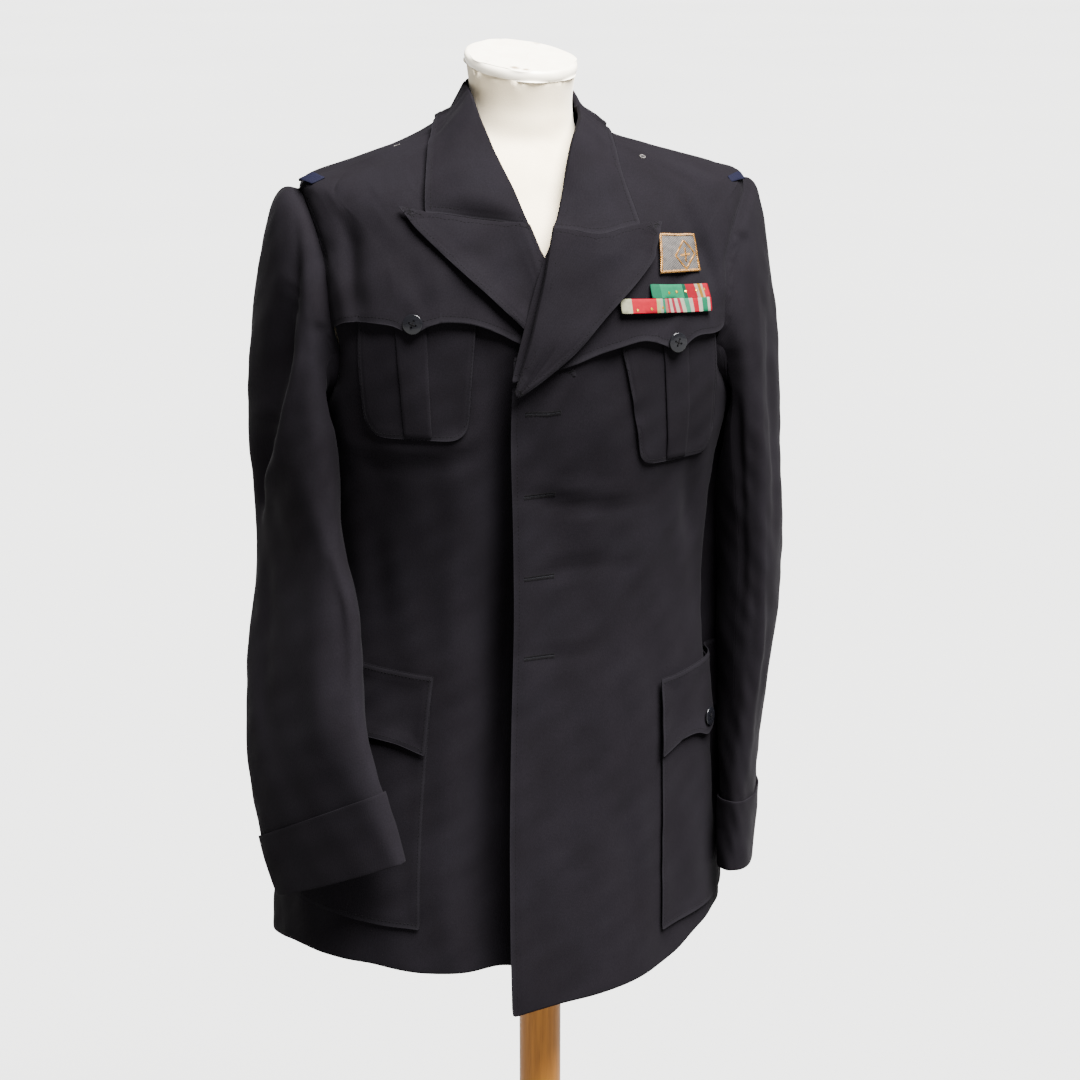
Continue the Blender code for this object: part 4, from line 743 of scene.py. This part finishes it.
# Matt pale paper roll, with the faintest mottle
paper = speckled("Matt pale background paper", 2.5, "#6b6b6a", "#70706f", Roughness=1.0, Specular_IOR_Level=0.0)


# Small rounded bars in rows: stitches, cord, and the turns of worked thread

Bar = namedtuple("Bar", "size pitch turn")
STITCH = Bar((0.0026, 0.0005, 0.0005), 0.0034, 0.0)
BADGE_CORD = Bar((0.0036, 0.0019, 0.0018), 0.0017, math.radians(38))
LOZENGE_CORD = Bar((0.0030, 0.0015, 0.0015), 0.0016, math.radians(38))
MIDDLE_CORD = Bar((0.0030, 0.0013, 0.0013), 0.0014, math.radians(55))
HOLE_THREAD = Bar((0.0024, 0.0009, 0.0011), 0.0011, math.radians(90))
HOLE_SLIT = Bar((0.0030, 0.0010, 0.0008), 0.0014, 0.0)
HOLE_TACK = Bar((0.0018, 0.0010, 0.0011), 0.001, 0.0)
STUD_SIZE = (0.0028, 0.0028, 0.0016)
BUTTON_THREAD_SIZE = (0.0062, 0.0010, 0.0011)
EYELET_THREAD_SIZE, EYELET_HOLE_SIZE = (0.0020, 0.0011, 0.0012), (0.0026, 0.0026, 0.0008)
SAME_PLACE = 1e-6


def bar_template():
    """One bar, rounded at its ends and a metre long, along X."""
    bpy.ops.mesh.primitive_uv_sphere_add(segments=6, ring_count=4, radius=0.5)
    shape = bpy.context.object
    bpy.ops.object.mode_set(mode="EDIT")
    bpy.ops.mesh.select_all(action="SELECT")
    bpy.ops.transform.rotate(value=math.pi / 2, orient_axis="Y", center_override=(0, 0, 0))
    bpy.ops.object.mode_set(mode="OBJECT")
    points = get_points(shape.data)
    faces = [tuple(polygon.vertices) for polygon in shape.data.polygons]
    bpy.data.objects.remove(shape)
    return points, faces


BAR_POINTS, BAR_FACES = bar_template()


def bars(name, frames, size, finish):
    """Copies of the bar, one for each frame of a place and its three ways, in one mesh."""
    points, faces = [], []
    for place, along, across, out in frames:
        start = len(points) * len(BAR_POINTS)
        basis = np.array([along * size[0], across * size[1], out * size[2]])
        points.append(BAR_POINTS @ basis + np.array(place))
        faces += [tuple(start + index for index in face) for face in BAR_FACES]
    mesh = bpy.data.meshes.new(name)
    mesh.from_pydata(np.concatenate(points).tolist(), [], faces)
    return finish_piece(new_piece(name, mesh), finish)


def surface_tree(piece):
    return BVHTree.FromPolygons(
        [vertex.co for vertex in piece.data.vertices], [tuple(face.vertices) for face in piece.data.polygons])


def spaced(spots, bar, lift=0.0):
    """Frames for a row of bars along a line of spots, each with its normal."""
    frames, walked = [], bar.pitch / 2
    for (start, normal), (stop, _) in zip(spots, spots[1:]):
        length = (stop - start).length
        if length < SAME_PLACE:
            continue
        along = (stop - start) / length
        while walked < length:
            across = normal.cross(along).normalized()
            leant = along * math.cos(bar.turn) + across * math.sin(bar.turn)
            place = start + along * walked + normal * lift
            frames.append((place, leant, normal.cross(leant).normalized(), normal))
            walked += bar.pitch
        walked -= length
    return frames


def along_edge(piece, runs, inset, bar):
    """Frames along runs of the edge, moved in by the inset and laid on the cloth."""
    surface = surface_tree(piece)
    frames = []
    for run in runs:
        frames += spaced([
            (surface.find_nearest(spot + inward * inset + normal * ABOVE_CLOTH)[0], normal)
            for spot, inward, normal in run], bar)
    return frames


def sew(piece, place, way, inset):
    frames = along_edge(piece, outer_runs(piece, place, way), inset, STITCH)
    bars(f"stitching_{piece.name}", frames, STITCH.size, thread)


# The wool pieces. Flat sizes are those of the cut that shows, and area is its own area. Stitched says which of its
# edges are turned and topstitched: the one at the centre front, the hem, or all

Cut = namedtuple("Cut", "width length area held rests_on levels stitched")
CUTS = {
    "front": Cut(0.36, 0.61, 0.20, "hung", ("yoke",), 3, "front"),
    "back": Cut(0.30, 0.77, 0.20, "hung", ("dress_form",), 2, None),
    "yoke": Cut(0.26, 0.24, 0.042, "hung", ("dress_form",), 3, "hem"),
    "lapel": Cut(0.16, 0.16, 0.012, "folded", ("yoke",), 3, "all"),
    "sleeve_upper": Cut(0.24, 0.64, 0.12, "hung", ("yoke",), 3, None),
    "sleeve_under": Cut(0.15, 0.50, 0.06, "hung", ("yoke",), 3, None),
    "cuff": Cut(0.33, 0.068, 0.0205, "folded", ("sleeve_upper",), 3, None),
    "chest_pocket": Cut(0.10, 0.11, 0.011, "laid", ("front",), 3, "all"),
    "chest_pleat": Cut(0.03, 0.10, 0.0028, "laid", ("chest_pocket",), 2, None),
    "lower_pocket": Cut(0.19, 0.23, 0.042, "laid", ("front",), 3, "all"),
    "lower_flap": Cut(0.20, 0.08, 0.013, "laid", ("lower_pocket",), 3, "all"),
}
# How far in the stitches run, and how far the edge stands off what is under it
Edge = namedtuple("Edge", "inset lift")
EDGES = {
    "front": Edge(0.005, 0.0),
    "yoke": Edge(0.004, 0.0012),
    "lapel": Edge(0.005, 0.0030),
    "collar": Edge(0.005, 0.0003),
    "chest_pocket": Edge(0.003, 0.0010),
    "lower_pocket": Edge(0.003, 0.0012),
    "lower_flap": Edge(0.004, 0.0018),
}
IN_UP = (0, 0, 1)
LAPEL_FREE_EDGE_RISE = 0.6
BODY_PANELS = ("yoke", "back", "front")
EDGE_FOLDS = {"front_left": LEFT_EDGE_FOLDS, "front_right": RIGHT_EDGE_FOLDS}

# The armhole's seam: where its points are found, how deep it draws the cloth in, and over what distance the body's
# folds give way to the sleeve's
ARMPIT_HEIGHT, SEAM_REACH = 1.205, 0.012
SEAM_DEPTH, SEAM_WIDTH = 0.0042, 0.0065
SEAM_START, SEAM_STOP, SEAM_STEPS = 0.004, 0.045, 8


def seam_distance(word):
    """How far points are from the armhole's seam."""
    body = point_tree([
        vertex.co for name in BODY_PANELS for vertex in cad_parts[f"{name}_{word}"].data.vertices])
    seam = []
    for name in ("sleeve_upper", "sleeve_under"):
        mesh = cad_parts[f"{name}_{word}"].data
        near = [spot.co.z > ARMPIT_HEIGHT and body.find(spot.co)[2] < SEAM_REACH for spot in mesh.vertices]
        for edge in mesh.edges:
            start, stop = edge.vertices
            if near[start] and near[stop]:
                first, last = mesh.vertices[start].co, mesh.vertices[stop].co
                seam += [first.lerp(last, step / SEAM_STEPS) for step in range(SEAM_STEPS + 1)]
    tree = point_tree(seam)
    return lambda points: distances(tree, points)


def seam_sink(away):
    """How far cloth is drawn in near the armhole's seam."""
    return SEAM_DEPTH * bell(away, SEAM_WIDTH)


def fold_body(piece, extra=(), from_seam=None):
    """The body's folds, which every layer on it shares, and the piece's own."""
    points = get_points(piece.data)
    angles, out = body_place(points)
    depth = fold_depth(angles, points[:, 2], BODY_FOLDS + extra, BODY_RADIUS)
    if from_seam:
        depth -= seam_sink(from_seam(points))
    set_points(piece.data, points + out * depth[:, None])


def fold_sleeve(piece, side, from_seam):
    """The sleeve's folds, which give way to the body's at the armhole."""
    points = get_points(piece.data)
    angles, out = body_place(points)
    away = from_seam(points)
    share = 1 - eased(away, SEAM_START, SEAM_STOP)
    depth = fold_depth(angles, points[:, 2], BODY_FOLDS, BODY_RADIUS) * share - seam_sink(away)
    moved = out * depth[:, None]
    angles, out = sleeve_place(side, points)
    depth = fold_depth(angles, points[:, 2], SLEEVE_FOLDS[side], SLEEVE_RADIUS)
    set_points(piece.data, points + moved + out * (depth * (1 - share))[:, None])


built = {}
for side, word in SIDES:
    from_seam = seam_distance(word)
    for name, cut in CUTS.items():
        node = f"{name}_{word}"
        on_arm = name.startswith("sleeve") or name == "cuff"
        place, radius = (partial(sleeve_place, side), SLEEVE_RADIUS) if on_arm else (body_place, BODY_RADIUS)
        piece = built[node] = refined(node, f"wool_{node}", cut.levels, place=place)
        if on_arm:
            fold_sleeve(piece, side, from_seam)
        else:
            fold_body(piece, EDGE_FOLDS.get(node, ()), from_seam if name in BODY_PANELS else None)
        way = {"front": (side, 0, 0), "hem": IN_UP}.get(cut.stitched)
        if cut.stitched:
            # a lapel lies flat where it is sewn to the collar, and stands off along its free edge
            press_edge(piece, place, (-side, 0, LAPEL_FREE_EDGE_RISE) if name == "lapel" else way, EDGES[name])
        lay_weave(piece, place, radius)
        finish_piece(piece, wool, node)
        if cut.stitched:
            sew(piece, place, way, EDGES[name].inset)

collar = built["collar"] = refined("collar", "wool_collar", 3, place=body_place)
fold_body(collar, COLLAR_FOLDS)
press_edge(collar, body_place, None, EDGES["collar"])
lay_weave(collar, body_place, BODY_RADIUS)
finish_piece(collar, wool, "collar")
sew(collar, body_place, None, EDGES["collar"].inset)


# Trimmings, placed by angle and height on the body

OUTSIDE_BODY = 0.08
LINE_STEPS = 9


def body_spot(surface, angle, height):
    """Where a piece lies at an angle and height on the body, and its normal there."""
    centre_x, half_width, front, back = [float(value) for value in level(BODY, height)]
    turn = math.radians(angle)
    across = half_width * math.sin(turn)
    forward = (front if abs(angle) < 90 else back) * math.cos(turn)
    inward = Vector((-across, forward, 0.0)).normalized()
    start = Vector((centre_x + across, -forward, height)) - OUTSIDE_BODY * inward
    return surface.ray_cast(start, inward)[:2]


def laid_line(surface, waypoints, bar, lift=0.0):
    """Frames along a line on a piece, which runs through (angle, height) places."""
    spots = []
    for (angle, height), (to_angle, to_height) in zip(waypoints, waypoints[1:]):
        for share in np.linspace(0, 1, LINE_STEPS):
            here = angle + share * (to_angle - angle), height + share * (to_height - height)
            spots.append(body_spot(surface, *here))
    return spaced(spots, bar, lift)


def flat_trim(node, name, levels, finish):
    """A flat trimming that follows the cloth under it."""
    piece = built[node] = refined(node, name, levels, place=body_place)
    fold_body(piece)
    lay_weave(piece, body_place, BODY_RADIUS)
    angles = body_place(get_points(piece.data))[0]
    keep_points(piece.data, "Across", (angles - angles.min()) / (angles.max() - angles.min()))
    return finish_piece(piece, finish, node)


for _, word in SIDES:
    flat_trim(f"shoulder_loop_{word}", f"grosgrain_loop_{word}", 2, grosgrain)
for node in [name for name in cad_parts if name.startswith("ribbon")]:
    flat_trim(node, f"silk_{node}", 2, upper_ribbon if "upper" in node else lower_ribbon)

# The badge: a plain lozenge of gold cord on a field of silver purl, corded round its edge
BADGE_CORD_INSET = 0.0014
LOZENGE = ((31.3, 1.3710), (34.6, 1.3590), (31.3, 1.3470), (28.0, 1.3590), (31.3, 1.3710))
MIDDLE = ((29.6, 1.3590), (33.0, 1.3590)), ((31.3, 1.3652), (31.3, 1.3528))
field = flat_trim("badge", "badge_field", 3, silver)
border = along_edge(field, outer_runs(field, body_place), BADGE_CORD_INSET, BADGE_CORD)
bars("badge_cord", border, BADGE_CORD.size, gold)
on_badge = surface_tree(field)
bars("badge_lozenge", laid_line(on_badge, LOZENGE, LOZENGE_CORD), LOZENGE_CORD.size, gold)
for number, line in enumerate(MIDDLE, start=1):
    row = laid_line(on_badge, line, MIDDLE_CORD)
    bars(f"badge_middle_{number}", row, MIDDLE_CORD.size, gold)

# Gilt studs on the ribbons, and worked eyelets on the shoulders
STUDS = {
    "ribbons_upper": ((25.4, 1.3290), (27.8, 1.3290), (30.1, 1.3290), (33.0, 1.3290), (35.6, 1.3290)),
    "ribbons_lower": ((16.1, 1.3180), (19.5, 1.3180), (22.7, 1.3180)),
}
for node, places in STUDS.items():
    surface = surface_tree(built[node])
    studs = []
    for angle, height in places:
        spot, normal = body_spot(surface, angle, height)
        along = Vector((0, 0, 1)).cross(normal).normalized()
        studs.append((spot, along, normal.cross(along), normal))
    bars(f"gilt_studs_{node}", studs, STUD_SIZE, gilt)

EYELETS = {"right": (-0.1308, -0.0127, 1.4470), "left": (0.0810, -0.0540, 1.4386)}
EYELET_RADIUS, EYELET_LIFT, EYELET_HOLE_LIFT, EYELET_TURNS = 0.0021, 0.0004, 0.0002, 12
for word, place in EYELETS.items():
    spot, normal = surface_tree(built[f"yoke_{word}"]).find_nearest(Vector(place))[:2]
    if normal.z < 0:
        normal.negate()
    across = Vector((0, 1, 0)).cross(normal).normalized()
    up = normal.cross(across)
    ring = []
    for turn in np.linspace(0, 2 * math.pi, EYELET_TURNS, endpoint=False):
        out = across * math.cos(turn) + up * math.sin(turn)
        ring.append((spot + out * EYELET_RADIUS + normal * EYELET_LIFT, out, normal.cross(out), normal))
    bars(f"eyelet_{word}", ring, EYELET_THREAD_SIZE, silver)
    hole = [(spot + normal * EYELET_HOLE_LIFT, across, up, normal)]
    bars(f"eyelet_{word}_hole", hole, EYELET_HOLE_SIZE, slit)


BUTTON_RADIUS, BUTTON_THICKNESS, BUTTON_HOLE, HOLE_OFFSET = 0.0095, 0.0032, 0.0009, 0.0021
BUTTON_RIM, BUTTON_SLOPE, BUTTON_DISH, BUTTON_ROUNDING = 0.0016, 0.0012, 0.0009, 0.0006
BUTTON_TURN, THREAD_RISE = 0.4, 0.0010


def horn_button():
    """A turned button: a rounded rim round a shallow dish with four holes."""
    bpy.ops.mesh.primitive_cylinder_add(vertices=48, radius=BUTTON_RADIUS, depth=BUTTON_THICKNESS)
    shape = bpy.context.object
    for polygon in shape.data.polygons:
        polygon.select = polygon.normal.z > 0.9
    bpy.ops.object.mode_set(mode="EDIT")
    bpy.ops.mesh.select_mode(type="FACE")
    bpy.ops.mesh.inset(thickness=BUTTON_RIM)
    bpy.ops.mesh.inset(thickness=BUTTON_SLOPE, depth=-BUTTON_DISH)
    bpy.ops.object.mode_set(mode="OBJECT")
    rim = shape.modifiers.new("Rim", "BEVEL")
    rim.width, rim.segments, rim.limit_method, rim.angle_limit = BUTTON_ROUNDING, 3, "ANGLE", math.radians(30)
    bpy.ops.object.modifier_apply(modifier="Rim")
    for x, y in ((1, 1), (1, -1), (-1, 1), (-1, -1)):
        bpy.ops.mesh.primitive_cylinder_add(
            vertices=16, radius=BUTTON_HOLE, depth=0.01, location=(x * HOLE_OFFSET, y * HOLE_OFFSET, 0.0))
        drill = bpy.context.object
        select_only(shape)
        hole = shape.modifiers.new("Hole", "BOOLEAN")
        hole.operation, hole.solver, hole.object = "DIFFERENCE", "EXACT", drill
        bpy.ops.object.modifier_apply(modifier="Hole")
        bpy.data.objects.remove(drill)
    return shape


def seat(node):
    """Where the cloth's folds take a small piece: its middle, and its ways across, up and out."""
    points = get_points(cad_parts[node].data)
    middle = (points.min(axis=0) + points.max(axis=0)) / 2
    angles, out = body_place(middle[None, :])
    normal = Vector(np.linalg.svd(points - points.mean(axis=0))[2][2])
    if normal.dot(Vector(out[0])) < 0:
        normal.negate()
    moved = float(fold_depth(angles, middle[None, 2], BODY_FOLDS, BODY_RADIUS)[0])
    across = Vector((0, 0, 1)).cross(normal).normalized()
    return Vector(middle + out[0] * moved), across, normal.cross(across), normal


template = horn_button()
for node in [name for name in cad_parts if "button" in name]:
    place, across, up, out = seat(node)
    leant = across * math.cos(BUTTON_TURN) + up * math.sin(BUTTON_TURN)
    basis = np.array([leant, out.cross(leant), out])
    mesh = template.data.copy()
    mesh.name = f"horn_{node}"
    set_points(mesh, get_points(mesh) @ basis + np.array(place))
    finish_piece(new_piece(f"horn_{node}", mesh), horn, node)
    crossed = []
    for turn in (1, -1):
        along = (Vector(basis[0]) + turn * Vector(basis[1])).normalized()
        crossed.append((place + out * THREAD_RISE, along, out.cross(along), out))
    bars(f"thread_{node}", crossed, BUTTON_THREAD_SIZE, thread)
bpy.data.objects.remove(template)

# Buttonholes in the left front, which stay open beside its edge: two worked sides, the cut, and a tack at its end
Buttonhole = namedtuple("Buttonhole", "angle height to_angle to_height")
BUTTONHOLES = (
    Buttonhole(-8.1, 1.2310, 0.3, 1.2325),
    Buttonhole(-8.2, 1.1580, -0.1, 1.1590),
    Buttonhole(-7.6, 1.0850, 0.5, 1.0855),
    Buttonhole(-6.5, 1.0130, 1.6, 1.0135),
)
HOLE_HALF_WIDTH, TACK_HALF_LENGTH, SLIT_LIFT = 0.0013, 0.002, -0.0001
on_front = surface_tree(built["front_left"])
for number, hole in enumerate(BUTTONHOLES, start=1):
    for row, rise in (("upper", HOLE_HALF_WIDTH), ("lower", -HOLE_HALF_WIDTH)):
        line = ((hole.angle, hole.height + rise), (hole.to_angle, hole.to_height + rise))
        turns = laid_line(on_front, line, HOLE_THREAD)
        bars(f"buttonhole_{number}_{row}", turns, HOLE_THREAD.size, thread)
    line = ((hole.angle, hole.height), (hole.to_angle, hole.to_height))
    bars(f"buttonhole_{number}_slit", laid_line(on_front, line, HOLE_SLIT, SLIT_LIFT), HOLE_SLIT.size, slit)
    line = ((hole.to_angle, hole.to_height - TACK_HALF_LENGTH), (hole.to_angle, hole.to_height + TACK_HALF_LENGTH))
    bars(f"buttonhole_{number}_tack", laid_line(on_front, line, HOLE_TACK), HOLE_TACK.size, thread)


# The form and its stand. Under the jacket the padded form gives way where the cloth is drawn in

FORM_CLEARANCE = 0.003
FORM_SHOWS_FROM, FORM_SHOWS_WHOLE = 1.400, 1.430
for node, name, levels, crease, finish, slot_name in (
    ("dress_form", "form_body", 2, 0.5, jersey, "form_cover"),
    ("neck_cap", "form_neck_cap", 2, 0.8, enamel, "cap"),
    ("pole", "stand_pole", 2, 1.0, pole_wood, "wood"),
    ("base", "stand_base", 1, 1.0, base_wood, "wood"),
):
    piece = refined(node, name, levels, crease)
    if node == "dress_form":
        points = get_points(piece.data)
        angles, out = body_place(points)
        depth = fold_depth(angles, points[:, 2], BODY_FOLDS + RIGHT_EDGE_FOLDS, BODY_RADIUS)
        drawn_in = np.minimum(0, depth) - FORM_CLEARANCE
        drawn_in *= 1 - eased(points[:, 2], FORM_SHOWS_FROM, FORM_SHOWS_WHOLE)
        set_points(piece.data, points + out * drawn_in[:, None])
    finish_piece(piece, finish, node)


# Floor, light and background

bpy.ops.mesh.primitive_circle_add(vertices=96, radius=60.0, fill_type="NGON")
floor = bpy.context.object
floor.name = "floor"
floor.data.materials.append(paper)

TOWARDS_LIGHT = Vector((0.260, -0.362, 0.895))
bpy.ops.object.light_add(type="SUN", rotation=TOWARDS_LIGHT.to_track_quat("Z", "Y").to_euler())
key = bpy.context.object
key.name = "key_light"
key.data.energy = 85.0
key.data.angle = math.radians(40)

world = bpy.data.worlds.new("pale_studio")
bpy.context.scene.world = world
world.use_nodes = True
background = world.node_tree.nodes["Background"]
background.inputs["Color"].default_value = (1.0, 1.0, 1.0, 1.0)
background.inputs["Strength"].default_value = 0.5
